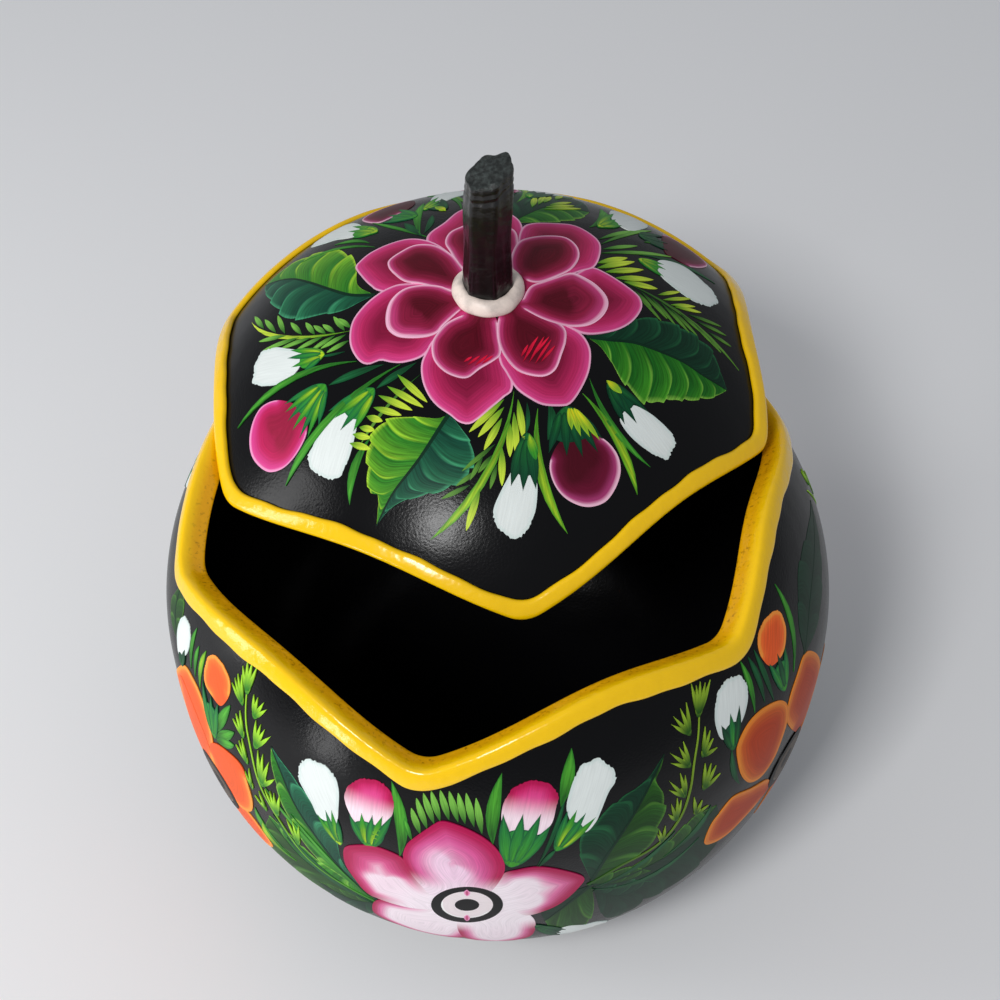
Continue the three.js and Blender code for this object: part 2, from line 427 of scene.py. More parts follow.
@dataclass(frozen=True)
class ThickEnamel:
    """Chrome yellow enamel laid on thick over the cut edge with a brush.

    It is glossy and lumpy, and where it runs over the rough cut face it is ochre with dark specks.
    """

    roughness: float = 0.2
    specular: float = 0.5
    lumps: float = 3.4
    specks: float = 0.9
    grit: str = "#6B4200"
    name: str = "thick_yellow_enamel"

    def build(self) -> bpy.types.Material:
        """Makes the material: a noise gives the specks, kept to the cut face by an attribute."""
        material, add = new_material(self.name)
        place = add("TexCoord").outputs["Object"]
        ink = add("Attribute", attribute_name="ink")
        grit = add("TexNoise", {"Vector": place, "Scale": per_metre(self.specks), "Detail": 4.0})
        reach = {"From Min": 0.55, "From Max": 0.72, "To Min": 0.0, "To Max": 0.6}
        dark = add("MapRange", {"Value": grit.outputs["Fac"], **reach})
        kept = add("Math", {0: dark.outputs["Result"], 1: ink.outputs["Alpha"]}, operation="MULTIPLY")
        speckled = {"Factor": kept.outputs["Value"], 6: ink.outputs["Color"], 7: linear(self.grit)}
        colour = add("Mix", speckled, data_type="RGBA")
        lumps = add("TexNoise", {"Vector": place, "Scale": per_metre(self.lumps), "Detail": 2.0})
        bump = add("Bump", {"Height": lumps.outputs["Fac"], "Strength": 0.45, "Distance": 0.5 * MM})
        surface = {"Roughness": self.roughness, "Specular IOR Level": self.specular}
        looks = {"Base Color": colour.outputs[2], "Normal": bump.outputs["Normal"]}
        shader = add("BsdfPrincipled", {**looks, **surface})
        add("OutputMaterial", {"Surface": shader.outputs["BSDF"]})
        return material


@dataclass(frozen=True)
class PlainFinish:
    """A finish of one colour with a little mottling and roughness of the surface.

    Used for the stalk, which is dry gourd stem stained and varnished black, for its sawn end, and
    for the collar of cream filler.
    """

    name: str
    colour: str
    shadow: str
    roughness: float
    grain: float
    grain_depth: float
    specular: float = 0.5

    def build(self) -> bpy.types.Material:
        """Makes the material: one noise mixes the colour with its shadow and roughens the surface."""
        material, add = new_material(self.name)
        place = add("TexCoord").outputs["Object"]
        noise = add("TexNoise", {"Vector": place, "Scale": per_metre(self.grain), "Detail": 4.0})
        reach = {"From Min": 0.42, "From Max": 0.7, "To Min": 0.0, "To Max": 1.0}
        mottle = add("MapRange", {"Value": noise.outputs["Fac"], **reach})
        mixed = {"Factor": mottle.outputs["Result"], 6: linear(self.colour), 7: linear(self.shadow)}
        colour = add("Mix", mixed, data_type="RGBA")
        relief = {"Strength": 0.6, "Distance": self.grain_depth * MM}
        bump = add("Bump", {"Height": noise.outputs["Fac"], **relief})
        surface = {"Roughness": self.roughness, "Specular IOR Level": self.specular}
        looks = {"Base Color": colour.outputs[2], "Normal": bump.outputs["Normal"]}
        shader = add("BsdfPrincipled", {**looks, **surface})
        add("OutputMaterial", {"Surface": shader.outputs["BSDF"]})
        return material


def add_piece(
    name: str,
    points: Array,
    faces: list[list[int]],
    material: bpy.types.Material,
    colours: Array | None = None,
    strokes: Array | None = None,
    crease_degrees: float = 40.0,
) -> bpy.types.Object:
    """Makes a mesh object in the row frame.

    Args:
        name: The object's name.
        points: Rows of x, y and z in millimetres.
        faces: Lists of indices.
        material: What it is made of.
        colours: A linear colour for each point, kept as the attribute ink.
        strokes: Where each point is along and across its brush stroke, kept as the UV map stroke.
        crease_degrees: Faces that meet at more than this angle keep a sharp edge.

    Returns:
        The object, linked to the scene.
    """
    mesh = bpy.data.meshes.new(name)
    mesh.from_pydata((points * MM).tolist(), [], faces)
    mesh.materials.append(material)
    mesh.shade_smooth()
    mesh.set_sharp_from_angle(angle=np.radians(crease_degrees))
    if colours is not None:
        mesh.color_attributes.new("ink", "FLOAT_COLOR", "POINT").data.foreach_set("color", colours.ravel())
    if strokes is not None:
        corners = np.empty(len(mesh.loops), dtype=int)
        mesh.loops.foreach_get("vertex_index", corners)
        mesh.uv_layers.new(name="stroke").data.foreach_set("uv", strokes[corners].ravel())
    mesh.update()
    piece = bpy.data.objects.new(name, mesh)
    bpy.context.collection.objects.link(piece)
    return piece


class Outline(Enum):
    """How a stroke swells from its base and narrows to its tip: the powers of a sine for each."""

    BLADE = (0.95, 0.9)
    SPINDLE = (0.9, 0.7)
    BUD = (0.6, 0.42)
    TOOTH = (0.45, 1.15)


@dataclass(frozen=True)
class Ink:
    """The colours that a shape takes up, from its depths out to its border.

    The heart is deeper than heart_depth, the body fills most, the edge comes in over edge_band
    and the rim is a line drawn round the border. On a leaf the body is the ridge of each lobe, the
    heart the furrow between lobes and the edge the tint of its tip. A petal or bud may fade to
    another colour towards its base, between two shares of its length. Hair is how strongly the
    brush's hairs show, lengthwise or round the border, and ragged how far they break up the tip.
    """

    heart: str
    body: str
    edge: str | None = None
    rim: str | None = None
    heart_depth: float = 6.0
    edge_band: float = 3.0
    rim_width: float = 0.45
    fade: str | None = None
    fade_from: float = 0.75
    fade_to: float = 0.2
    hair: float = 1.0
    lengthwise: bool = False
    ragged: float = 0.0


@dataclass(frozen=True)
class Film:
    """One closed film of paint: directions with lifts, faces, colours and places along the brush."""

    directions: Array
    lifts: Array
    faces: list[list[int]]
    colours: Array
    brush: Array


def through(points: Array, places: Array, closed: bool = False) -> Array:
    """A smooth curve through points: a Catmull-Rom spline, with places measured along its chords.

    Args:
        points: Rows of x, y and z.
        places: Shares of the curve's length, from 0 to 1.
        closed: Whether the last point joins the first.

    Returns:
        A point for each place.
    """
    if closed:
        points = np.concatenate([points, points[:1]])
        before, after = points[-2], points[1]
    else:
        before, after = 2 * points[0] - points[1], 2 * points[-1] - points[-2]
    spans = np.linalg.norm(np.diff(points, axis=0), axis=1)
    marks = np.concatenate([[0], np.cumsum(spans)]) / spans.sum()
    index = np.clip(np.searchsorted(marks, places, side="right") - 1, 0, len(spans) - 1)
    inside = ((places - marks[index]) / (marks[index + 1] - marks[index]))[:, None]
    padded = np.concatenate([before[None], points, after[None]])
    first, second, third, fourth = (padded[index + step] for step in range(4))
    return 0.5 * (
        2 * second
        + (third - first) * inside
        + (2 * first - 5 * second + 4 * third - fourth) * inside**2
        + (3 * second - first - 3 * third + fourth) * inside**3
    )


def fullness_at(share: Array, swell: float, outline: Outline) -> Array:
    """How wide a stroke is along its length, as a share of its widest.

    The formula is a quarter wave of a sine up to the widest place and another one down to the tip,
    each to the outline's power.
    """
    base_power, tip_power = outline.value
    rising = np.sin(np.pi / 2 * np.clip(share / swell, 0, 1)) ** base_power
    falling = np.sin(np.pi / 2 * np.clip((1 - share) / (1 - swell), 0, 1)) ** tip_power
    return np.where(share < swell, rising, falling)


@dataclass(frozen=True)
class Mark:
    """A painted shape on one half of the gourd, held as directions from its centre."""

    ink: Ink
    layer: int

    sunk = 0.3

    def film(self, gourd: Gourd) -> Film:
        """Works the shape out; each kind of mark has its own."""
        raise NotImplementedError

    def held(self) -> dict[str, Array]:
        """The directions that the shape is made from, by the name of their field."""
        return {name: value for name, value in vars(self).items() if isinstance(value, np.ndarray)}

    def moved(self, turn: Array) -> "Mark":
        """The same shape with its directions turned, or mirrored, by a matrix."""
        return replace(self, **{name: value @ turn.T for name, value in self.held().items()})

    def middle(self) -> Array:
        """The direction of the shape's middle."""
        return unit(np.concatenate([np.atleast_2d(value) for value in self.held().values()]).mean(axis=0))

    def grid_film(self, places: Array, colours: Array, brush: Array) -> Film:
        """Closes a grid of directions, in rows from base to tip and columns to the left."""
        rows, columns = places.shape[:2]
        ring = 2 * columns

        def doubled(values: Array) -> Array:
            """Each row out and back again, as one ring."""
            return np.concatenate([values, values[:, ::-1]], axis=1).reshape(rows * ring, -1)

        sides = ring_faces(rows, ring, False)[:, ::-1]
        step = np.arange(columns - 1)
        near = np.stack([step, step + 1, ring - 2 - step, ring - 1 - step], -1)
        far = near[:, ::-1] + (rows - 1) * ring
        faces = np.concatenate([sides, near, far]).tolist()
        lifts = np.tile(np.repeat([0.0, -self.sunk], columns), rows)
        return Film(doubled(places), lifts, faces, doubled(colours), doubled(brush))


@dataclass(frozen=True)
class Stroke(Mark):
    """One pull of the brush between two directions, wider in its middle and bowed to one side."""

    base: Array
    tip: Array
    left: float
    right: float
    outline: Outline
    swell: float = 0.5
    bow: float = 0.0

    thinnest = 0.03
    broad_from = 1.6
    fine_grid = (26, 13)
    coarse_grid = (12, 5)

    def film(self, gourd: Gourd) -> Film:
        """Works out the stroke as a grid over its chord, taken onto the skin along each line.

        The width follows its outline's formula and the middle line a parabola.
        """
        chord = Chord.between(gourd, self.base, self.tip)
        broad = max(self.left, self.right) > self.broad_from
        rows, columns = self.fine_grid if broad else self.coarse_grid
        share = (1 - np.cos(np.pi * np.linspace(0, 1, rows))) / 2
        across = np.sin(np.pi / 2 * np.linspace(-1, 1, columns))
        share, across = np.meshgrid(share, across, indexing="ij")
        half = np.where(across > 0, self.left, self.right) * fullness_at(share, self.swell, self.outline)
        half = np.maximum(half, self.thinnest)
        aside = across * half + self.bow * 4 * share * (1 - share)
        border = np.minimum(half * (1 - np.abs(across)), (1 - share) * chord.length)
        ink = self.ink
        colour = blend(linear(ink.heart), linear(ink.body), ease(0, 0.75, share))
        if ink.edge:
            band = min(ink.edge_band, 0.8 * max(self.left, self.right))
            colour = blend(colour, linear(ink.edge), ease(band, 0, border))
        if ink.rim:
            colour = blend(colour, linear(ink.rim), ease(ink.rim_width * 1.5, ink.rim_width * 0.5, border))
        seed = grain_of(self.tip)
        brush = np.stack([share * chord.length + seed, aside + seed], -1)
        return self.grid_film(chord.at(share, aside), colour, brush)

    def moved(self, turn: Array) -> "Mark":
        """The same stroke turned or mirrored; a mirrored one bows to its other side."""
        hand = np.sign(np.linalg.det(turn))
        return replace(super().moved(turn), bow=self.bow * hand)


@dataclass(frozen=True)
class Patch(Mark):
    """A petal or bud: a smooth closed outline filled with tints that follow its border.

    The part of the border near its base is under its neighbours, so the tints don't follow it there.
    """

    base: Array
    outline: Array
    heavy: Array | None = None

    count = 84
    rings = 15
    ring_power = 1.8
    hidden_share = 0.2

    def film(self, gourd: Gourd) -> Film:
        """Works out rings from the border in to the middle, closer together near the border."""
        core = unit(self.outline.mean(axis=0))
        border = through(self.outline, np.linspace(0, 1, self.count, endpoint=False), closed=True)
        after = np.roll(border, -1, axis=0)
        if np.cross(border - core, after - core).sum(axis=0) @ core < 0:
            border = border[::-1]
        border = self.frayed(gourd, border, core)
        depth = np.linspace(0, 1, self.rings + 1)[:-1, None, None] ** self.ring_power
        rows = np.concatenate([(border + (core - border) * depth).reshape(-1, 3), core[None]])
        places = gourd.onto(rows)
        edge = places[: self.count]
        start = gourd.onto(self.base)
        reach = np.linalg.norm(edge - start, axis=-1)
        along = unit(edge[reach.argmax()] - start)
        length = reach.max()
        share = (places - start) @ along / length
        free = edge[share[: self.count] > self.hidden_share]
        distance = np.linalg.norm(places[:, None] - free[None], axis=-1).min(axis=1)
        colour = self.tints(places, distance, core)
        if self.ink.fade:
            colour = blend(colour, linear(self.ink.fade), ease(self.ink.fade_from, self.ink.fade_to, share))
        seed = grain_of(self.base)
        aside = (places - start) @ unit(np.cross(start, along)) if self.ink.lengthwise else distance
        brush = np.stack([share * length + seed, aside + seed], -1)
        last = self.rings * self.count
        directions = np.concatenate([rows, border, core[None]])
        lifts = np.concatenate([np.zeros(last + 1), np.full(self.count + 1, -self.sunk)])
        faces = ring_faces(self.rings, self.count, False).tolist()
        faces += pole_faces(last, last - self.count, self.count, False)
        step = np.arange(self.count)
        turn = (step + 1) % self.count
        faces += np.stack([step, last + 1 + step, last + 1 + turn, turn], -1).tolist()
        faces += pole_faces(last + 1 + self.count, last + 1, self.count, True)
        colours = np.concatenate([colour, colour[: self.count], colour[-1:]])
        brushes = np.concatenate([brush, brush[: self.count], brush[-1:]])
        return Film(directions, lifts, faces, colours, brushes)

    def frayed(self, gourd: Gourd, border: Array, core: Array) -> Array:
        """The border with its far end broken up by two sines, as the brush's hairs leave it."""
        start = gourd.onto(self.base)
        reach = np.linalg.norm(gourd.onto(border) - start, axis=-1)
        step = np.arange(self.count) + grain_of(self.base)
        bite = np.abs(np.sin(1.3 * step) * np.sin(0.37 * step)) * ease(0.62, 0.86, reach / reach.max())
        return border + (core - border) * (self.ink.ragged * bite)[:, None]

    def tints(self, places: Array, distance: Array, core: Array) -> Array:
        """The colour at places by their distance to the free border, in millimetres.

        Every band is up to twice as broad on the heavy side.
        """
        ink = self.ink
        if self.heavy is not None:
            facing = unit(unit(places) - core + 1e-9) @ unit(self.heavy - core)
            distance = distance / (1 + 1.1 * ease(-0.2, 0.95, facing))
        deep = ease(ink.edge_band * 0.7, ink.heart_depth, distance)
        colour = blend(linear(ink.body), linear(ink.heart), deep)
        if ink.edge:
            colour = blend(colour, linear(ink.edge), ease(ink.edge_band, ink.rim_width, distance))
        if ink.rim:
            line = ease(ink.rim_width * 1.35, ink.rim_width * 0.55, distance)
            colour = blend(colour, linear(ink.rim), line)
        return colour


@dataclass(frozen=True)
class LeafHalf(Mark):
    """Half of a leaf, ruled from its rib out to its border, in lobes that each lighten to a ridge.

    The border runs ahead of the rib by the power lead, notches cut it between lobes, bend curves
    the rules, and the crest is the pale line along each ridge.
    """

    rib: Array
    border: Array
    lobes: int

    lead = 0.78
    notch = 0.09
    bend = 0.06
    ridge_power = 1.4
    crest_phase = 0.93
    crest_width = 0.06
    rim_strength = 0.75
    lobe_rows = 11
    columns = 12

    def film(self, gourd: Gourd) -> Film:
        """Works out the ruled grid; a lobe's phase runs from 0 at a furrow to 1 at its ridge."""
        rows = self.lobe_rows * self.lobes + 1
        share = np.linspace(0, 1, rows)
        out = np.linspace(0, 1, self.columns)[None, :]
        lean = self.bend * np.sin(np.pi * share)[:, None] * np.sin(np.pi * out)
        inner = np.clip(share[:, None] + lean, 0, 1)
        outer = np.clip(share[:, None] ** self.lead + lean, 0, 1)
        rib = through(self.rib, inner.ravel()).reshape(rows, self.columns, 3)
        border = through(self.border, outer.ravel()).reshape(rows, self.columns, 3)
        phase = (share * self.lobes) % 1
        phase[-1] = 1
        taper = np.sin(np.pi * share) ** 0.5
        reach = out * (1 - self.notch * taper * (1 - phase) ** 2)[:, None]
        places = rib + (border - rib) * reach[..., None]
        side = np.cross(rib[-1, 0] - rib[0, 0], (border - rib)[:, -1].mean(axis=0)) @ rib[0, 0]
        ink = self.ink
        ridge = phase[:, None] ** self.ridge_power * (0.25 + 0.75 * out**0.8)
        tipward = ease(0.3, 1, share)[:, None] * np.ones_like(out)
        tint = blend(linear(ink.body), linear(ink.edge or ink.body), tipward)
        colour = blend(linear(ink.heart) + 0 * tint, tint, ridge)
        if ink.rim:
            crest = np.exp(-(((phase - self.crest_phase) / self.crest_width) ** 2))
            crest = crest[:, None] * ease(0.1, 0.5, out)
            rim = np.maximum(crest * 0.8, ease(0.9, 1.0, out) * np.ones_like(crest))
            colour = blend(colour, linear(ink.rim), rim * self.rim_strength)
        length = np.linalg.norm(gourd.onto(rib[-1, 0]) - gourd.onto(rib[0, 0]))
        width = np.linalg.norm(gourd.onto(border) - gourd.onto(rib), axis=-1)
        seed = grain_of(self.rib[-1])
        brush = np.stack([out * width + seed, share[:, None] * length * np.ones_like(out) + seed], -1)
        if side < 0:
            places, colour, brush = places[:, ::-1], colour[:, ::-1], brush[:, ::-1]
        return self.grid_film(places, colour, brush)


@dataclass(frozen=True)
class Trail(Mark):
    """A line drawn along a path, such as a leaf's rib or a sprig's stem, thinner at its tip."""

    path: Array
    width: float

    taper = 0.3
    rows = 48
    columns = 5

    def film(self, gourd: Gourd) -> Film:
        """Works out the line as a ribbon to both sides of a smooth curve through the path."""
        share, across = np.linspace(0, 1, self.rows), np.linspace(-1, 1, self.columns)
        line = gourd.onto(through(self.path, share))
        aside = unit(np.cross(line, np.gradient(line, axis=0)))
        half = self.width / 2 * (1 - (1 - self.taper) * share)
        offset = half[:, None] * across
        places = line[:, None] + aside[:, None] * offset[..., None]
        colour = blend(linear(self.ink.heart), linear(self.ink.body), share[:, None] * np.ones_like(across))
        length = np.linalg.norm(line[-1] - line[0])
        along = share[:, None] * length * np.ones_like(across)
        brush = np.stack([along, offset], -1) + grain_of(self.path[-1])
        return self.grid_film(places, colour, brush)


def grain_of(direction: Array) -> float:
    """A number from a direction, so that no two strokes have the same hair marks."""
    return float(np.abs(direction @ (311.7, 127.1, 74.7))) * 10


@dataclass(frozen=True)
class Chord:
    """The straight line under a stroke, from base to tip, and the way to its left."""

    start: Array
    along: Array
    aside: Array
    length: float

    @classmethod
    def between(cls, gourd: Gourd, base: Array, tip: Array) -> "Chord":
        """The chord between the places where two directions meet the skin."""
        start, end = gourd.onto(np.array([base, tip]))
        length = float(np.linalg.norm(end - start))
        along = (end - start) / length
        aside = unit(np.cross(start + end, along))
        return cls(start, along, aside, length)

    def at(self, share: Array | float, aside: Array | float) -> Array:
        """The direction over a share of the chord and millimetres to its left."""
        share, aside = np.broadcast_arrays(share, aside)
        return self.start + share[..., None] * self.length * self.along + aside[..., None] * self.aside

    def measure(self, direction: Array) -> tuple[float, float]:
        """Where a direction crosses the chord's plane: the share along and millimetres aside."""
        normal = np.cross(self.along, self.aside)
        hit = direction * (self.start @ normal) / (direction @ normal)
        return float((hit - self.start) @ self.along) / self.length, float((hit - self.start) @ self.aside)


@dataclass
class Sketch:
    """Marks for one half of the gourd, kept by the name of the piece that they go into.

    Every place is a pixel of the photograph, taken onto the half's skin, and widths are in mm.
    """

    gourd: Gourd
    placing: Placing
    view: PhotoView
    marks: dict[str, list[Mark]] = field(default_factory=dict)

    rib_width = 0.9
    cup_spread = 0.62
    cup_margin = 0.35
    cup_height = 0.78
    foot_share = 0.12

    def seen(self, pixels: Pixels) -> Array:
        """The directions of pixels of the photograph."""
        return self.view.directions(np.array(pixels, dtype=float).reshape(-1, 2), self.gourd, self.placing)

    def add(self, piece: str, mark: Mark) -> None:
        """Keeps a mark for a piece."""
        self.marks.setdefault(piece, []).append(mark)

    def patch(
        self, piece: str, ink: Ink, base: Pixels, outline: Pixels, layer: int = 4, heavy: Pixels = ()
    ) -> None:
        """Adds a petal or bud by its base and its outline; heavy is where its rim is thickest."""
        start, *edge = self.seen((*base, *outline))
        side = self.seen(heavy)[0] if heavy else None
        self.add(piece, Patch(ink, layer, start, np.array(edge), side))

    def leaf(
        self, piece: str, inks: tuple[Ink, Ink], rib: Pixels, left: Pixels, right: Pixels, lobes: int
    ) -> None:
        """Adds a leaf of two halves by its rib, from base to tip, and the border of each half."""
        middle = self.seen(rib)
        for ink, border in zip(inks, (left, right)):
            edge = self.seen((*rib[:2], *border, *rib[-2:]))
            self.add(piece, LeafHalf(ink, 0, middle, edge, lobes))
        self.add(piece, Trail(RIB, 1, middle, self.rib_width))

    def stem(self, piece: str, ink: Ink, path: Pixels, width: float, layer: int = 5) -> None:
        """Adds a stem along a path; width is at its foot."""
        self.add(piece, Trail(ink, layer, self.seen(path), width))

    def blade(self, piece: str, ink: Ink, path: Pixels, width: float, layer: int = 2, **rest) -> None:
        """Adds a narrow stroke by its base, a pixel that it bows through, and its tip."""
        start, bend, end = self.seen(path)
        chord = Chord.between(self.gourd, start, end)
        share, aside = chord.measure(bend)
        share = float(np.clip(share, 0.2, 0.8))
        rest = {"swell": 0.6, "outline": Outline.BLADE, "bow": aside / (4 * share * (1 - share)), **rest}
        self.add(piece, Stroke(ink, layer, start, end, width / 2, width / 2, **rest))

    def spindles(
        self, piece: str, ink: Ink, ends: Pixels, width: float, layer: int = 3,
        outline: Outline = Outline.SPINDLE,
    ) -> None:
        """Adds short strokes, each by its root and its tip."""
        for start, end in self.seen(ends).reshape(-1, 2, 3):
            self.add(piece, Stroke(ink, layer, start, end, width / 2, width / 2, outline))

    def cap(
        self, piece: str, inks: tuple[Ink, ...], root: Pixels, tips: Pixels, width: float, layer: int = 5
    ) -> None:
        """Adds a bud's cap: a green cup from its root and teeth that reach over the bud."""
        start, *ends = self.seen((*root, *tips))
        mouth = unit(np.mean(ends, axis=0))
        chord = Chord.between(self.gourd, start, mouth)
        spread = [chord.measure(end)[1] for end in ends]
        widest = np.array([max(spread), -min(spread)]) * self.cup_spread + width * self.cup_margin
        left, right = (abs(float(half)) for half in widest)
        cup = unit(chord.at(self.cup_height, 0.0))
        self.add(piece, Stroke(inks[0], layer, start, cup, left, right, Outline.BUD, 0.72))
        for number, end in enumerate(ends):
            ink = inks[number % len(inks)]
            foot = unit(chord.at(self.foot_share, spread[number] * 0.25))
            self.add(piece, Stroke(ink, layer + 1, foot, end, width / 2, width / 2, Outline.TOOTH, 0.45))

    def tuft(self, piece: str, ink: Ink, base: Pixels, tips: Pixels, palm: float, layer: int = 6) -> None:
        """Adds a tuft of a sprig: a small palm at its base and a spiky finger to each tip."""
        start, *ends = self.seen((*base, *tips))
        middle = unit(start + 0.5 * (np.mean(ends, axis=0) - start))
        broad, finger = palm * 0.42, palm * 0.2
        self.add(piece, Stroke(ink, layer, start, middle, broad, broad, Outline.BUD, 0.6))
        for end in ends:
            foot = unit(start + self.foot_share * (end - start))
            self.add(piece, Stroke(ink, layer + 1, foot, end, finger, finger, Outline.TOOTH, 0.36))

    def repeat(self, pieces: tuple[str, ...], turns: tuple[float, ...], front: float, reach: float) -> None:
        """Repeats the marks of the middle of the front on the unseen back.

        Args:
            pieces: The pieces to repeat.
            turns: How far round, in degrees.
            front: A mark is taken where its middle lies further forward than this.
            reach: And no further than this to either side.
        """
        rolls = [np.array(Matrix.Rotation(np.radians(turn), 3, "Z")) for turn in turns]
        for piece in pieces:
            taken = []
            for mark in self.marks[piece]:
                middle = mark.middle()
                if middle[1] < -front and abs(middle[0]) < reach:
                    taken.append(mark)
            self.marks[piece] += [mark.moved(roll) for roll in rolls for mark in taken]

    def mirror(self, piece: str, plane: Array, side: int, near: float, reach: float = 32.0) -> None:
        """Mirrors marks over an upright plane, to complete a flower whose far half is out of sight.

        Args:
            piece: The piece whose marks are mirrored.
            plane: A direction in the plane.
            side: 1 if the marks to take lie anticlockwise of the plane, seen from above, or else -1.
            near: How many degrees from the plane a mark's middle is at least, to be taken.
            reach: And at most.
        """
        azimuth = np.arctan2(plane[1], plane[0])
        across, along = np.cos(2 * azimuth), np.sin(2 * azimuth)
        flip = np.array([[across, along, 0], [along, -across, 0], [0, 0, 1]])
        for mark in list(self.marks[piece]):
            middle = mark.middle()
            apart = np.degrees(np.arctan2(middle[1], middle[0]) - azimuth) * side
            if near < (apart + 180) % 360 - 180 < reach:
                self.marks[piece].append(mark.moved(flip))


@dataclass(frozen=True)
class Painter:
    """Lays a half's marks on its skin, each a closed film of paint."""

    gourd: Gourd
    cut: Cut
    placing: Placing
    side: int
    body: str
    paint: bpy.types.Material
    ground: float = -0.3
    film: float = 0.025
    spread: int = 10
    edge_margin: float = 2.2

    def kept(self, directions: Array) -> Array:
        """Directions with those past the cut brought back to a little short of it."""
        along = unit(directions)
        azimuth = np.arctan2(along[..., 1], along[..., 0])
        latitude = np.arcsin(np.clip(along[..., 2], -1, 1))
        limit = self.cut.latitude(azimuth) - self.side * self.edge_margin / self.gourd.belt_radius
        inside = np.minimum(latitude, limit) if self.side > 0 else np.maximum(latitude, limit)
        return bearing(azimuth, inside)

    def build(self, name: str, marks: list[Mark]) -> bpy.types.Object:
        """Makes one piece of many marks, each lifted by the films that lie under it.

        Marks of one layer are spread over its thickness, so that no two that cross share a surface.
        """
        films = [mark.film(self.gourd) for mark in marks]
        counts = np.cumsum([0] + [len(film.directions) for film in films])
        levels = [mark.layer + number % self.spread / self.spread for number, mark in enumerate(marks)]
        lifts = [film.lifts + self.ground + self.film * level for film, level in zip(films, levels)]
        directions = self.kept(np.concatenate([film.directions for film in films]))
        points = self.placing.to_row(self.gourd.onto(directions, np.concatenate(lifts)))
        faces = [
            [index + start for index in face]
            for film, start in zip(films, counts.tolist()) for face in film.faces
        ]
        colours = np.concatenate([film.colours for film in films])
        colours[:, 3] = np.repeat([mark.ink.hair for mark in marks], np.diff(counts))
        brush = np.concatenate([film.brush for film in films])
        piece = add_piece(name, points, faces, self.paint, colours, brush)
        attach(piece, self.body)
        log.info("%s: %d marks, %d faces", name, len(marks), len(faces))
        return piece


@dataclass(frozen=True)
class Shell:
    """One half's gourd wall with its black lacquer, finer than the part's."""

    gourd: Gourd
    cut: Cut
    placing: Placing
    side: int
    body: str
    node: str
    count: int = 360
    outer_rows: int = 80
    inner_rows: int = 50
    set_back: float = 0.9
    set_in: float = 0.35

    def build(self, material: bpy.types.Material) -> bpy.types.Object:
        """Makes the wall: rings go from the outer pole to the cut and back inside to the inner pole."""
        azimuth = np.linspace(0, 2 * np.pi, self.count, endpoint=False)
        pole = -self.side * np.pi / 2
        edge = self.cut.latitude(azimuth) - self.side * self.set_back / self.gourd.belt_radius
        shares = np.concatenate(
            [np.linspace(0, 1, self.outer_rows + 1)[1:], np.linspace(1, 0, self.inner_rows + 1)[:-1]]
        )
        lifts = np.repeat([-self.set_in, -self.gourd.wall], [self.outer_rows, self.inner_rows])
        latitude = pole + (edge[None] - pole) * shares[:, None]
        rings = self.gourd.skin(azimuth[None], latitude, lifts[:, None])
        ends = self.gourd.skin(np.zeros(2), np.full(2, pole), np.array([-self.set_in, -self.gourd.wall]))
        points = np.concatenate([rings.reshape(-1, 3), ends])
        points[:, 2] = np.maximum(points[:, 2], -self.gourd.centre_height)
        faces = capped_faces(len(shares), self.count)
        if self.side < 0:
            faces = [face[::-1] for face in faces]
        shell = add_piece(f"{self.body}_wall", self.placing.to_row(points), faces, material)
        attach(shell, self.body)
        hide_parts(self.node)
        log.info("%s: %d points", shell.name, len(points))
        return shell


@dataclass(frozen=True)
class EnamelBead:
    """The thick bead of enamel round one half's edge, over the cut face and a strip of the outside."""

    gourd: Gourd
    cut: Cut
    placing: Placing
    side: int
    body: str
    node: str
    width: float
    yellow: str = "#FFCC04"
    ochre: str = "#EAAA08"
    count: int = 540
    wave: float = 0.09
    outside_lift: float = -0.6
    strip_arc: float = -1.5

    def section(self) -> Array:
        """The bead's section as arc above the cut and lift off the skin, rounded from a few corners."""
        wall, width = self.gourd.wall, self.width
        corners = [
            (-0.15, -wall - 0.1), (-0.2, -wall * 0.55), (-0.1, -0.2), (-0.3, 0.75), (-1.1, 1.15),
            (-width * 0.6, 1.1), (-width + 0.3, 0.9), (-width, 0.2), (-width + 0.3, -0.4),
            (-1.6, -0.5), (-1.6, -wall + 0.4), (-1.5, -wall - 0.2), (-0.6, -wall - 0.3),
        ]
        return rounded(np.array(corners))

    def build(self, material: bpy.types.Material) -> bpy.types.Object:
        """Makes the bead: its section is carried along the cut, and its strip breathes by a few sines."""
        azimuth = np.linspace(0, 2 * np.pi, self.count, endpoint=False)
        arc, lift = (column[:, None] for column in self.section().T)
        waves = np.sin(7 * azimuth + 1) + np.sin(17 * azimuth) + 0.6 * np.sin(41 * azimuth + 2)
        breath = 1 + self.wave * waves / 2
        on_strip = (lift > self.outside_lift) & (arc < self.strip_arc)
        strip = np.where(on_strip, arc * breath[None], arc)
        line = self.cut.latitude(azimuth)[None]
        latitude = line + self.side * strip / self.gourd.reach(line)
        rings = self.gourd.skin(azimuth[None], latitude, lift)
        faces = ring_faces(len(arc), self.count, True)
        if self.side > 0:
            faces = faces[:, ::-1]
        inner = ease(0.2, -self.gourd.wall * 0.6, lift) * np.ones_like(line)
        colours = blend(linear(self.yellow), linear(self.ochre), inner)
        colours[..., 3] = inner
        points = self.placing.to_row(rings.reshape(-1, 3))
        name = f"{self.body}_enamel_bead"
        bead = add_piece(name, points, faces.tolist(), material, colours.reshape(-1, 4))
        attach(bead, self.body)
        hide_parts(self.node)
        log.info("%s: %d points", bead.name, len(points))
        return bead


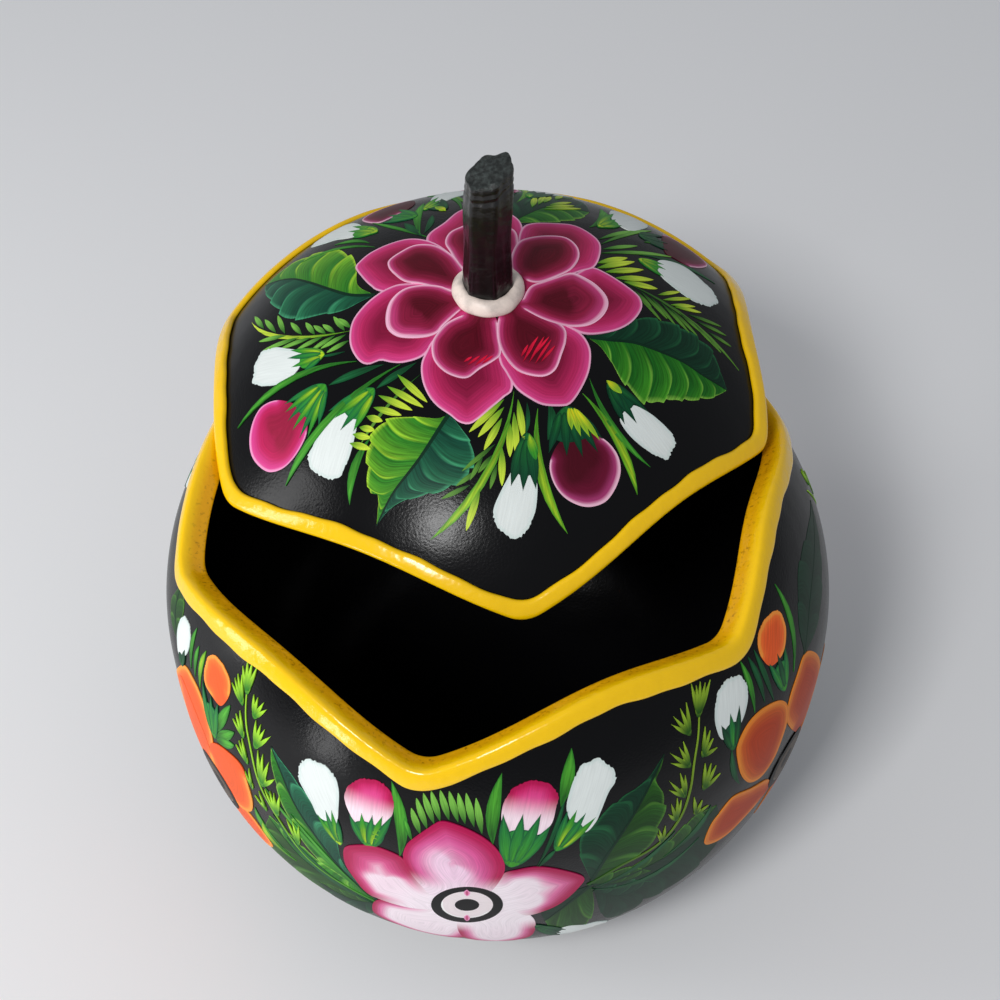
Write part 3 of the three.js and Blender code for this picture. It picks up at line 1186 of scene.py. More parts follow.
@dataclass(frozen=True)
class Stalk:
    """The gourd's stem as a handle, with its collar, on its seat on the lid.

    Each groove is its place, depth and width, as shares of the stem's height or radius.
    """

    gourd: Gourd
    placing: Placing
    azimuth_degrees: float = 214.0
    offset: float = 6.0
    height: float = 33.0
    radius: float = 5.3
    sides: int = 6
    slant: float = 2.0
    lean: float = 1.0
    peg_radius: float = 3.4
    gap: float = 0.3
    cap_drop: float = 0.6
    peg_end: float = 0.05
    root: float = 0.6
    stem_rows: int = 60
    collar_radius: float = 7.8
    collar_height: float = 2.7
    grooves: tuple = ((0.9, 0.04, 0.012), (0.955, 0.035, 0.01))
    count: int = 96

    def seat(self) -> tuple[Array, Array]:
        """The seat's axes as columns, its Z square to the skin, and its place, in the gourd's axes."""
        azimuth = np.radians(self.azimuth_degrees)
        share = self.offset / self.gourd.belt_radius
        latitude = np.arctan2(self.gourd.crown_height * np.sqrt(1 - share**2), self.offset)
        rise = self.gourd.crown_height * share / (self.gourd.belt_radius * np.sqrt(1 - share**2))
        hinge = (-np.sin(azimuth), np.cos(azimuth), 0)
        turn = np.array(Matrix.Rotation(np.arctan(rise), 3, hinge))
        return turn, self.gourd.skin(np.array(azimuth), np.array(latitude))

    def to_row(self, points: Array) -> Array:
        """Takes points from the seat's axes to the row frame."""
        turn, place = self.seat()
        return self.placing.to_row(points @ turn.T + place)

    def faceted(self, angle: Array) -> Array:
        """The stem's radius round its axis: a polygon's, worn round at its corners."""
        corner = np.pi / self.sides
        turned = (angle + corner) % (2 * corner) - corner
        flat = np.cos(corner) / np.cos(turned)
        worn = 0.93 + 0.035 * np.sin(2 * angle + 1) + 0.02 * np.sin(3 * angle)
        return self.radius * np.minimum(flat * 1.04, 1.0) * worn / 0.95

    def build_stem(self, side: bpy.types.Material, end: bpy.types.Material) -> bpy.types.Object:
        """Makes the stem: rings of the faceted outline climb from the peg, with grooves near the top."""
        angle = np.linspace(0, 2 * np.pi, self.count, endpoint=False)
        climb = np.linspace(0, 1, self.stem_rows)
        flare, neck = 0.1 * ease(0.16, 0, climb), 0.03 * ease(0.55, 0.95, climb)
        swell = 1 + flare + 0.035 * np.sin(9 * climb + 0.6) - neck
        groove = np.ones_like(climb)
        for place, depth, width in self.grooves:
            groove -= depth * np.exp(-(((climb - place) / width) ** 2))
        ridge = 1 + 0.012 * np.sin(11 * angle[None] + 3 * climb[:, None]) * np.sin(5 * climb[:, None])
        radius = self.faceted(angle)[None] * (swell * groove)[:, None] * ridge
        x, y = radius * np.cos(angle), radius * np.sin(angle)
        level = self.gap + self.height - self.cap_drop
        top = level + self.slant * x / self.radius + 0.25 * np.sin(4 * angle[None])
        z = -self.root + (top + self.root) * climb[:, None]
        stem = np.stack([x + self.lean * climb[:, None] ** 2, y, z], -1)
        cap_share = np.array([0.985, 0.95, 0.8, 0.55, 0.25])[:, None]
        rough = 0.22 * np.sin(3 * angle[None] + 9 * cap_share)
        rough = rough + 0.16 * np.sin(7 * angle[None] + 17 * cap_share)
        slanted = level + self.slant * x[-1:] * cap_share / self.radius
        cap_height = slanted + (1 - cap_share) * 0.7 + rough * cap_share + 0.15
        cap = np.stack([x[-1:] * cap_share + self.lean, y[-1:] * cap_share, cap_height], -1)
        around = angle[None] * np.ones((2, 1))
        depth = np.array([[-self.gourd.wall - self.peg_end], [-self.root]]) * np.ones_like(around)
        peg = np.stack([self.peg_radius * np.cos(around), self.peg_radius * np.sin(around), depth], -1)
        rings = np.concatenate([peg, stem, cap])
        ends = np.array([[0, 0, -self.gourd.wall - self.peg_end], [self.lean, 0, level + 0.75]])
        points = np.concatenate([rings.reshape(-1, 3), ends])
        total = len(rings)
        faces = capped_faces(total, self.count)
        piece = add_piece("stem", self.to_row(points), faces, side, crease_degrees=34)
        piece.data.materials.append(end)
        sawn = (total - len(cap) - 1) * self.count
        marks = np.array([min(face) >= sawn and 0 not in face for face in faces], dtype=int)
        marks[-2 * self.count : -self.count] = 0
        piece.data.polygons.foreach_set("material_index", marks)
        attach(piece, "lid")
        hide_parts("stalk_handle")
        log.info("stem: %d points", len(points))
        return piece

    def build_collar(self, material: bpy.types.Material) -> bpy.types.Object:
        """Makes the collar: a rounded section, wider at its foot, turned round the stem and uneven."""
        angle = np.linspace(0, 2 * np.pi, self.count, endpoint=False)
        dome = self.gourd.belt_radius**2 / self.gourd.crown_height
        inner, outer, tall = self.radius - 0.5, self.collar_radius, self.collar_height
        corners = [
            (inner, -0.2), (outer - 0.3, -0.2), (outer + 0.1, 0.3), (outer - 0.2, tall * 0.55),
            (outer - 1.1, tall * 0.92), (inner + 1.0, tall * 1.04), (inner + 0.2, tall * 0.95),
            (inner, tall * 0.5),
        ]
        radius, height = (column[:, None] for column in rounded(np.array(corners)).T)
        uneven = 0.13 * np.sin(3 * angle + 0.4) + 0.09 * np.sin(5 * angle + 2) + 0.05 * np.sin(9 * angle)
        radius = radius + uneven[None] * ease(inner, outer, radius)
        z = height * (1 + 0.05 * np.sin(2 * angle + 1)[None]) - radius**2 / (2 * dome)
        rings = np.stack([radius * np.cos(angle), radius * np.sin(angle), z * np.ones_like(radius)], -1)
        faces = ring_faces(len(radius), self.count, True)
        piece = add_piece("stem_collar", self.to_row(rings.reshape(-1, 3)), faces.tolist(), material)
        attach(piece, "lid")
        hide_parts("stalk_collar")
        log.info("stem_collar: %d points", len(rings) * self.count)
        return piece


OUTER_PETAL = Ink("#84163A", "#BE2A60", "#DA4488", "#F4B0D0", 6.6, 2.9, 0.4, hair=0.6)
INNER_PETAL = Ink("#5A0C1E", "#941E42", "#CC4480", "#F8BCD6", 4.6, 1.8, 0.45, hair=0.8)
RED_GLINT = Ink("#B40E30", "#E81C40", hair=0.8)
GOLD_HALF = Ink("#2C7A22", "#86C22A", "#4E9C28", "#BCE43C", hair=1.6)
FRESH_HALF = Ink("#17601A", "#49A024", "#3A9020", "#94CC50", hair=1.5)
TEAL_HALF = Ink("#0E4232", "#2A7E54", "#1E6A4A", "#4AA878", hair=1.5)
DEEP_HALF = Ink("#0A3020", "#144E30", "#0D3422", "#236A3E", hair=1.3)
MOSS_HALF = Ink("#163E12", "#2A641C", "#3A7822", "#568A30", hair=1.3)
NIGHT_HALF = Ink("#0A2C1C", "#103E28", "#0C3420", hair=1.3)
RIB = Ink("#08301E", "#082818")
BLADE = Ink("#123C1A", "#52A834", "#2C7826", edge_band=0.6, hair=1.3)
BLADE_SHADE = Ink("#0C2A18", "#1C6438", "#134A2A", edge_band=0.6, hair=1.3)
BLADE_LIME = Ink("#1E4A1A", "#AACE2C", "#4E9A24", edge_band=0.7, hair=1.3)
SPRIG_LIME = Ink("#5C9A24", "#C4DC40")
SPRIG_BRIGHT = Ink("#2E7A24", "#A4DC34")
SPRIG_PALE = Ink("#2E6A24", "#78B84A")
SPRIG_DARK = Ink("#1C4A1C", "#5C9034")
SPRIG_OLIVE = Ink("#24521A", "#8CAE30")
WHITE = Ink("#E6ECE9", "#E4EAE7", "#D8E4E0", None, 3.0, 0.8, hair=0.22, lengthwise=True, ragged=0.08)
ROSE = Ink("#9A1E40", "#C0225A", "#DC4490", "#F09CC8", 4.4, 1.8, 0.28, hair=0.4)
WINE = Ink("#4C0C1C", "#6C1432", "#B04078", "#F0BCD2", 3.8, 1.5, 0.36, hair=0.4)
PINK_BUD = Ink(
    "#E0488C", "#C82464", "#B41650", None, 3.4, 1.4, fade="#FBE4EE", fade_from=0.78, fade_to=0.34, hair=0.4,
    lengthwise=True, ragged=0.05,
)
ORANGE_BUD = Ink("#F0602A", "#FA7430", "#FF9C40", None, 2.6, 1.0, hair=0.5, lengthwise=True, ragged=0.04)
CUP_LIME = Ink("#B4D424", "#3E9A2A", "#2A8030", edge_band=0.5)
CUP_GREEN = Ink("#3E962A", "#2A863A", "#17603A", edge_band=0.6)
CUP_DARK = Ink("#1E6A30", "#0F4A2E", "#0B3824", edge_band=0.6)
TOOTH_GOLD = Ink("#F0E020", "#7EB030", "#9CC42A", edge_band=0.4)
PINK_PETAL = Ink("#F4D0E6", "#DC5C9C", "#B41450", None, 7.4, 3.0, 0.3, "#F8E4F0", 0.4, 0.1, hair=0.5)
PALE_PETAL = Ink("#FAEAF2", "#E678AC", "#B01A52", None, 4.2, 2.6, 0.3, "#FCF0F6", 0.46, 0.1, hair=0.4)
FLUSHED_PETAL = Ink("#F8E0EC", "#DE5A94", "#B01C50", None, 4.8, 3.2, 0.3, "#FCEEF6", 0.5, 0.12, hair=0.4)
ORANGE_PETAL = Ink("#EE5C22", "#F6702C", "#FFA040", None, 3.5, 1.5, hair=0.4)
# The right flower's orange petals: the same paint as the left's, painted darker and browner as painted
# shade for the side away from the lamps.
SHADED_ORANGE_PETAL = Ink("#B83C0E", "#D05C18", "#EC8A2C", None, 4.5, 1.8, hair=0.4)
BLACK = Ink("#050506", "#050506", hair=0.0)
# The white ring of the orange flowers' eyes, which lie near the outline, painted grey-brown as painted
# shade.
SHADED_EYE_WHITE = Ink("#8C8078", "#7A6C62", "#54483E", None, 1.0, 0.4, hair=0.9)
EYE_WHITE = Ink("#FAF8F6", "#F8F6F4", "#F0E4E6", None, 1.0, 0.4, hair=0.2)


@dataclass
class LidPainting:
    """The double flower round the stem, with leaves, buds and sprigs out to the lid's edge."""

    sketch: Sketch

    def flower(self) -> None:
        """Sketches the petals of the outer rank and then of the inner one, in the order they overlap."""
        outer = (
            ((487, 285), (426, 239, 445, 221, 461, 209, 487, 202, 511, 213, 521, 222, 523, 236, 517, 246,
                510, 262, 487, 285, 450, 268)),
            ((487, 292), (458, 262, 444, 248, 428, 240, 409, 238, 389, 243, 370, 252, 359, 261, 355, 267,
                361, 276, 370, 285, 382, 291, 430, 300, 470, 292)),
            ((487, 292), (406, 283, 389, 287, 374, 296, 361, 308, 352, 321, 349, 336, 351, 349, 359, 361,
                368, 364, 380, 360, 391, 362, 404, 362, 422, 356, 436, 342, 470, 310, 450, 286)),
            ((487, 305), (434, 338, 426, 351, 421, 364, 422, 380, 428, 395, 437, 406, 450, 415, 459, 422,
                469, 424, 478, 419, 491, 408, 504, 397, 513, 386, 506, 350, 490, 312, 455, 318)),
            ((495, 305), (496, 330, 499, 359, 505, 371, 516, 388, 531, 399, 544, 405, 561, 406, 570, 404,
                579, 393, 588, 375, 591, 360, 590, 347, 583, 335, 570, 326, 530, 308, 505, 303)),
            ((495, 300), (560, 283, 579, 272, 592, 267, 605, 272, 620, 281, 635, 292, 641, 299, 642, 308,
                635, 319, 624, 327, 609, 332, 588, 334, 570, 328, 530, 310, 510, 298, 530, 288)),
            ((500, 290), (518, 246, 522, 228, 533, 223, 555, 223, 574, 225, 590, 233, 600, 243, 600, 256,
                594, 267, 581, 271, 560, 278, 520, 290)),
        )
        inner = (
            ((487, 285), (460, 227, 449, 233, 445, 242, 449, 250, 462, 268, 487, 284, 508, 266, 517, 248,
                518, 240, 516, 232, 509, 227, 487, 219)),
            ((480, 292), (459, 263, 448, 252, 433, 245, 415, 245, 400, 252, 389, 260, 388, 266, 392, 272,
                404, 281, 422, 284, 448, 290, 475, 294)),
            ((478, 300), (450, 290, 439, 286, 422, 285, 404, 289, 391, 300, 386, 314, 387, 328, 396, 336,
                409, 338, 426, 337, 437, 333, 443, 326, 458, 312, 472, 300), (388, 332)),
            ((485, 304), (472, 312, 450, 321, 439, 331, 432, 343, 433, 358, 441, 369, 453, 376, 467, 378,
                480, 369, 495, 360, 501, 353, 499, 336, 496, 318, 487, 308)),
            ((495, 302), (501, 313, 497, 328, 499, 345, 507, 360, 518, 371, 533, 376, 546, 376, 556, 369,
                562, 354, 566, 341, 565, 329, 554, 320, 530, 308, 512, 303)),
            ((500, 296), (523, 299, 530, 287, 542, 282, 557, 277, 571, 273, 583, 277, 596, 285, 606, 296,
                608, 306, 602, 317, 590, 325, 574, 327, 557, 324, 538, 317, 520, 306), (604, 300)),
            ((500, 284), (511, 257, 518, 243, 529, 238, 548, 236, 566, 238, 577, 247, 579, 258, 572, 269,
                559, 276, 542, 282, 531, 282, 521, 277, 512, 270)),
        )
        for number, (base, outline) in enumerate(outer):
            self.sketch.patch("lid_petals", OUTER_PETAL, base, outline, 4 + number)
        for number, (base, outline, *heavy) in enumerate(inner):
            self.sketch.patch("lid_petals", INNER_PETAL, base, outline, 11 + number, *heavy)
        right = (521, 357, 528, 345, 523, 362, 536, 340, 529, 363, 544, 337, 535, 364, 551, 340, 541, 362,
            555, 346, 526, 354, 538, 337, 532, 357, 549, 337)
        left = (464, 362, 472, 357, 468, 365, 480, 356, 475, 366, 488, 355, 482, 364, 493, 356)
        self.sketch.spindles("lid_petals", RED_GLINT, right + left, 0.55, layer=18)

    def leaves(self) -> None:
        """Sketches the broad leaves, each by its rib and the border of its two halves."""
        leaf = partial(self.sketch.leaf, "lid_leaves")
        leaf((GOLD_HALF, TEAL_HALF), (374, 294, 350, 294, 328, 288, 307, 281, 289, 278, 264, 284),
            (357, 284, 356, 264, 350, 253, 337, 248, 322, 250, 307, 255, 292, 262, 277, 272), (361, 300,
            341, 310, 318, 315, 298, 319, 285, 319, 272, 306, 264, 292), 6)
        leaf((GOLD_HALF, TEAL_HALF), (449, 413, 420, 457, 392, 494, 376, 526), (437, 418, 408, 416,
            384, 419, 373, 429, 366, 443, 365, 464, 366, 483, 369, 493, 377, 495, 377, 512), (461, 428,
            471, 442, 475, 456, 473, 470, 467, 479, 448, 490, 424, 496, 399, 503, 385, 514), 7)
        leaf((DEEP_HALF, FRESH_HALF), (587, 336, 609, 339, 635, 342, 661, 351, 685, 362, 704, 375,
            728, 390), (613, 331, 631, 321, 644, 316, 668, 320, 689, 329, 704, 340, 714, 350, 720, 366),
            (600, 345, 611, 360, 622, 380, 635, 395, 648, 406, 659, 402, 668, 403, 678, 400, 687, 402,
            698, 400, 713, 398), 8)
        leaf((DEEP_HALF, FRESH_HALF), (509, 222, 528, 212, 552, 205, 590, 211), (509, 199, 518, 186,
            540, 181, 565, 186, 584, 197), (527, 221, 555, 221, 580, 218), 5)

    def blades(self) -> None:
        """Sketches the long narrow leaves."""
        add = partial(self.sketch.blade, "lid_blades")
        add(BLADE, (400, 364, 346, 401, 285, 486), 1.9, layer=8, swell=0.72)
        add(BLADE, (356, 361, 290, 379, 237, 428), 1.7, layer=8)
        add(BLADE_SHADE, (383, 364, 357, 372, 328, 385), 1.9)
        add(BLADE_SHADE, (416, 362, 396, 374, 376, 388), 1.7)
        add(BLADE, (370, 437, 355, 464, 349, 505), 1.9, swell=0.5)
        add(BLADE_SHADE, (344, 351, 332, 354, 320, 356), 0.7)
        add(BLADE, (590, 378, 614, 427, 651, 467), 1.4)
        add(BLADE_LIME, (583, 393, 618, 440, 638, 495), 1.9, swell=0.65)
        add(BLADE_LIME, (538, 408, 541, 472, 568, 534), 2.0)
        add(BLADE_SHADE, (527, 402, 528, 418, 526, 434), 1.0)
        add(BLADE_SHADE, (548, 400, 552, 412, 548, 440), 2.0)
        add(BLADE, (428, 236, 404, 229, 372, 222), 1.1)
        add(BLADE_SHADE, (422, 235, 412, 228, 404, 222), 2.0)
        add(BLADE, (420, 234, 417, 216, 424, 202), 2.0)
        add(BLADE_SHADE, (424, 232, 430, 222, 432, 214), 1.6)
        add(BLADE, (374, 246, 340, 247, 300, 262), 1.1)
        add(BLADE, (369, 242, 352, 240, 334, 244), 1.2)
        add(BLADE, (590, 226, 602, 220, 601, 206), 2.6)
        add(BLADE_SHADE, (640, 254, 680, 263, 716, 283), 1.6)

    def sprigs(self) -> None:
        """Sketches the feathered sprigs, each by its stem and its leaflets."""
        add = partial(self.sketch.spindles, "lid_sprigs")
        blade = partial(self.sketch.blade, "lid_sprigs")
        blade(SPRIG_LIME, (350, 330, 300, 337, 251, 322), 1.0)
        above = (275, 332, 264, 319, 284, 333, 277, 315, 301, 334, 290, 322, 314, 334, 305, 322, 325, 333,
            313, 325, 334, 332, 322, 324, 344, 330, 333, 316, 350, 327, 338, 318, 263, 328, 254, 316)
        below = (285, 335, 258, 341, 298, 337, 262, 350, 310, 337, 280, 348, 322, 336, 296, 349, 334, 335,
            310, 350, 345, 334, 320, 348, 348, 340, 326, 352)
        add(SPRIG_PALE, above, 1.2)
        add(SPRIG_PALE, below, 1.2)
        comb = (397, 374, 427, 402, 387, 386, 423, 407, 378, 395, 412, 410, 373, 407, 401, 415, 366, 416,
            382, 421, 359, 427, 374, 430, 352, 434, 370, 438, 349, 443, 370, 449)
        blade(SPRIG_DARK, (420, 374, 392, 400, 358, 448), 0.7)
        add(SPRIG_LIME, comb, 1.5, layer=4)
        blade(BLADE_LIME, (514, 391, 489, 470, 430, 540), 1.7, layer=4, swell=0.72)
        front = (504, 399, 469, 432, 504, 407, 478, 437, 502, 418, 484, 450, 518, 399, 524, 440, 514, 412,
            517, 457, 510, 423, 510, 457, 502, 447, 502, 486, 480, 488, 466, 531)
        shaded = (495, 444, 462, 471, 483, 456, 470, 480, 497, 464, 490, 489, 470, 485, 441, 499,
            492, 455, 478, 473, 478, 470, 456, 486)
        add(SPRIG_LIME, front, 1.5, layer=5)
        add(SPRIG_DARK, shaded, 1.0, layer=3)
        blade(SPRIG_DARK, (622, 280, 689, 318, 740, 370), 0.9)
        under = (631, 287, 662, 320, 636, 290, 652, 306, 642, 291, 668, 318, 652, 297, 676, 324, 662, 302,
            690, 332, 670, 307, 698, 335, 680, 312, 705, 334, 694, 322, 712, 342, 702, 330, 722, 352)
        over_near = (659, 294, 681, 291, 664, 299, 692, 298, 672, 304, 696, 306, 676, 306, 702, 312)
        over_far = (690, 314, 722, 326, 698, 321, 727, 335, 710, 332, 732, 346)
        fans = (598, 267, 635, 261, 606, 271, 644, 269, 616, 277, 654, 279, 625, 281, 658, 288, 598, 262,
            628, 257)
        strands = (602, 243, 652, 230, 604, 248, 638, 245, 602, 252, 672, 256, 600, 238, 634, 230,
            645, 241, 668, 243)
        add(SPRIG_DARK, under, 0.9)
        add(SPRIG_LIME, over_near, 1.0, layer=4)
        add(SPRIG_DARK, over_far, 0.9)
        add(SPRIG_LIME, fans, 1.7, layer=4)
        add(SPRIG_PALE, strands, 1.2)

    def buds(self) -> None:
        """Sketches the white, rose and wine buds with their green caps."""
        patch = partial(self.sketch.patch, "lid_buds")
        cap = partial(self.sketch.cap, "lid_calyxes")
        tooth = partial(self.sketch.spindles, "lid_calyxes")
        patch(WHITE, (302, 356), (302, 360, 300, 351, 285, 348, 274, 347, 261, 351, 254, 363, 252, 375,
            252, 384, 265, 386, 283, 382, 294, 373))
        cap((CUP_LIME, CUP_GREEN), (324, 354), (290, 350, 287, 358, 291, 367, 303, 371), 1.5)
        patch(WHITE, (350, 408), (337, 413, 352, 407, 357, 417, 354, 437, 349, 456, 343, 472, 337, 479,
            330, 481, 324, 478, 314, 474, 308, 465, 306, 457, 311, 448, 319, 432, 327, 419))
        cap((CUP_GREEN, CUP_LIME), (374, 388), (328, 411, 334, 418, 340, 430, 353, 431), 1.8)
        patch(WHITE, (525, 460), (518, 458, 510, 474, 502, 489, 494, 507, 493, 520, 500, 531, 508, 538,
            520, 539, 528, 530, 534, 517, 537, 501, 537, 482, 530, 466))
        cap((CUP_DARK,), (527, 432), (511, 486, 523, 491, 536, 489), 2.4)
        tooth(CUP_LIME, (529, 433, 536, 460), 2.0, layer=8)
        patch(WHITE, (630, 408), (621, 417, 631, 406, 640, 407, 657, 418, 676, 438, 674, 450, 668, 460,
            653, 454, 635, 440, 624, 427))
        cap((CUP_DARK,), (608, 382), (625, 424, 637, 423, 649, 412, 627, 413), 1.7)
        tooth(TOOTH_GOLD, (607, 380, 622, 393), 1.8, layer=8)
        patch(WHITE, (656, 264), (658, 261, 668, 260, 685, 266, 702, 279, 715, 292, 719, 303, 709, 306,
            694, 300, 678, 289, 661, 274))
        cap((CUP_LIME,), (639, 258), (664, 264, 666, 269, 664, 276), 1.4)
        patch(WHITE, (610, 215), (611, 209, 622, 202, 640, 205, 652, 216, 648, 226, 635, 230, 624, 227,
            613, 219))
        cap((CUP_LIME,), (599, 226), (614, 213, 616, 219, 622, 225), 1.6)
        patch(WHITE, (360, 230), (308, 244, 313, 230, 328, 219, 345, 217, 361, 225, 359, 233, 348, 237,
            335, 239, 322, 243))
        cap((CUP_LIME,), (377, 231), (352, 226, 348, 231, 352, 237), 1.6)
        patch(WHITE, (432, 202), (430, 202, 434, 187, 448, 178, 462, 179, 466, 190, 450, 198, 437, 203))
        cap((CUP_LIME,), (424, 209), (438, 195, 441, 199, 440, 203), 1.5)
        patch(ROSE, (300, 404), (278, 400, 263, 405, 254, 417, 249, 435, 250, 453, 257, 465, 268, 472,
            281, 469, 292, 459, 301, 445, 306, 432, 306, 417, 296, 405), 4, (250, 460))
        cap((CUP_GREEN, CUP_LIME), (325, 384), (284, 404, 285, 412, 287, 421, 292, 430, 299, 438,
            307, 437, 318, 425), 1.5)
        patch(WINE, (570, 436), (560, 442, 552, 456, 550, 470, 556, 487, 568, 500, 586, 507, 604, 503,
            615, 490, 621, 472, 618, 455, 607, 441, 591, 433, 574, 434), 4, (612, 496))
        cap((CUP_DARK,), (566, 406), (549, 453, 567, 456, 583, 457, 598, 452, 603, 439), 1.9)
        gold = (569, 408, 572, 430, 571, 408, 581, 436, 574, 408, 590, 437, 576, 409, 600, 440)
        tooth(TOOTH_GOLD, gold, 1.3, layer=8, outline=Outline.TOOTH)
        patch(WINE, (664, 240), (663, 234, 674, 230, 690, 237, 704, 249, 710, 262, 702, 267, 689, 265,
            676, 258, 665, 250))
        cap((CUP_DARK,), (640, 235), (664, 236, 668, 243, 668, 250), 1.6)
        patch(WINE, (412, 203), (361, 218, 370, 202, 388, 191, 404, 190, 414, 198, 411, 206, 394, 215,
            376, 222))
        cap((CUP_GREEN,), (416, 216), (382, 222, 388, 215, 398, 209), 1.8)

    def draw(self) -> None:
        """Sketches the whole lid, with the front's marks again on its unseen back."""
        self.leaves()
        self.blades()
        self.sprigs()
        self.buds()
        self.sketch.repeat(("lid_blades", "lid_sprigs", "lid_buds", "lid_calyxes"), (164.0,), 0.3, 0.24)
        self.flower()


@dataclass
class BowlPainting:
    """The garland round the bowl: a pink flower in front, orange ones to its sides, and leaves."""

    sketch: Sketch

    def pink_flower(self) -> None:
        """Sketches the front flower, its lower petals first, and its ringed eye."""
        patch = partial(self.sketch.patch, "bowl_petals")
        patch(PALE_PETAL, (462, 918), (472, 920, 466, 940, 446, 950, 418, 946, 394, 934, 377, 921,
            372, 910, 378, 901, 413, 906, 440, 908))
        patch(PALE_PETAL, (480, 918), (458, 920, 462, 940, 478, 954, 499, 958, 518, 950, 532, 936,
            535, 922, 521, 910, 500, 904, 480, 908), 5)
        patch(FLUSHED_PETAL, (445, 903), (343, 852, 347, 847, 364, 846, 380, 849, 402, 859, 411, 872,
            424, 886, 440, 898, 438, 908, 413, 909, 380, 900, 366, 893, 354, 879, 345, 865), 6,
            (362, 848))
        patch(PALE_PETAL, (490, 903), (480, 895, 499, 877, 518, 871, 539, 868, 562, 871, 584, 878,
            578, 889, 562, 903, 546, 911, 526, 916, 510, 910, 485, 908), 7, (584, 880))
        patch(PINK_PETAL, (452, 900), (435, 897, 421, 886, 410, 873, 403, 858, 406, 846, 415, 838,
            428, 829, 441, 822, 458, 826, 476, 834, 490, 843, 500, 854, 505, 868, 500, 881, 489, 893,
            470, 900), 8, (500, 842))
        self.ring(BLACK, 36.0, 17.8, 9)
        self.ring(EYE_WHITE, 26.0, 13.2, 10)
        self.ring(BLACK, 12.2, 5.9, 11)
        self.sketch.spindles("bowl_petals", ROSE, (467, 890, 467, 896, 467, 921, 467, 915), 1.3, layer=12)

    def ring(self, ink: Ink, across: float, down: float, layer: int) -> None:
        """Sketches an ellipse round the front flower's eye, by its half sizes in pixels."""
        middle_x, middle_y, corners = 467.0, 905.0, 12
        turn = np.linspace(0, 2 * np.pi, corners, endpoint=False)
        outline = np.stack([middle_x + across * np.cos(turn), middle_y + down * np.sin(turn)], -1)
        self.sketch.patch("bowl_petals", ink, (middle_x, middle_y), tuple(outline.ravel()), layer)

    def eye(self, centre: Pixels, petal: Ink) -> None:
        """Sketches an orange flower's ringed eye by its middle, and the petal under it, out of sight.

        Both are ellipses on the skin, by layer, half width, half height and drop in millimetres.
        """
        middle = self.sketch.seen(centre)[0]
        level = unit(np.cross((0, 0, 1), middle))
        upright = np.cross(middle, level)
        turn = np.linspace(0, 2 * np.pi, 12, endpoint=False)[:, None]
        # The middle ring is the eye's white ring, painted grey-brown as painted shade.
        shapes = (
            (petal, 4, 6.6, 8.6, 14.5), (BLACK, 8, 7.6, 7.6, 0), (SHADED_EYE_WHITE, 9, 5.6, 5.6, 0),
            (BLACK, 10, 2.5, 2.5, 0),
        )
        for ink, layer, wide, tall, drop in shapes:
            around = np.cos(turn) * wide * level + (np.sin(turn) * tall - drop) * upright
            outline = middle + around / self.sketch.gourd.belt_radius
            self.sketch.add("bowl_petals", Patch(ink, layer, middle, outline))

    def orange_flowers(self) -> None:
        """Sketches the orange flowers at the left and right of the bowl; the right one's petals are painted
        darker, as painted shade.
        """
        patch = partial(self.sketch.patch, "bowl_petals")
        patch(ORANGE_PETAL, (200, 748), (178, 667, 184, 666, 191, 677, 199, 694, 207, 718, 212, 743,
            209, 752, 195, 738, 180, 716, 170, 694, 171, 676), 5)
        patch(ORANGE_PETAL, (210, 747), (209, 747, 215, 744, 230, 755, 242, 769, 248, 788, 252, 804,
            250, 812, 240, 807, 227, 791, 216, 772), 6)
        patch(ORANGE_PETAL, (226, 792), (228, 790, 246, 811, 260, 829, 270, 848, 260, 856, 240, 848,
            224, 828, 216, 806))
        # The right flower's petals take the darker orange: painted shade on the bowl's side away from the
        # lamps.
        patch(SHADED_ORANGE_PETAL, (790, 742), (788, 722, 791, 699, 799, 674, 805, 656, 812, 651, 820, 658,
            821, 676, 815, 699, 807, 720, 797, 732), 5)
        patch(SHADED_ORANGE_PETAL, (775, 780), (768, 780, 752, 789, 735, 797, 721, 813, 711, 827, 705, 844,
            715, 843, 729, 834, 744, 819, 758, 803, 770, 787), 5)
        patch(SHADED_ORANGE_PETAL, (782, 760), (740, 742, 750, 723, 764, 709, 780, 701, 788, 705, 788, 721,
            782, 741, 774, 760, 762, 777, 750, 783, 742, 775, 738, 756), 6)
        flowers = (
            ((213, 784), ORANGE_PETAL, 1, 5.0),
            ((787, 758), SHADED_ORANGE_PETAL, -1, 12.0),
        )
        for centre, petal, side, near in flowers:
            self.sketch.mirror("bowl_petals", self.sketch.seen(centre)[0], side, near)
            self.eye(centre, petal)

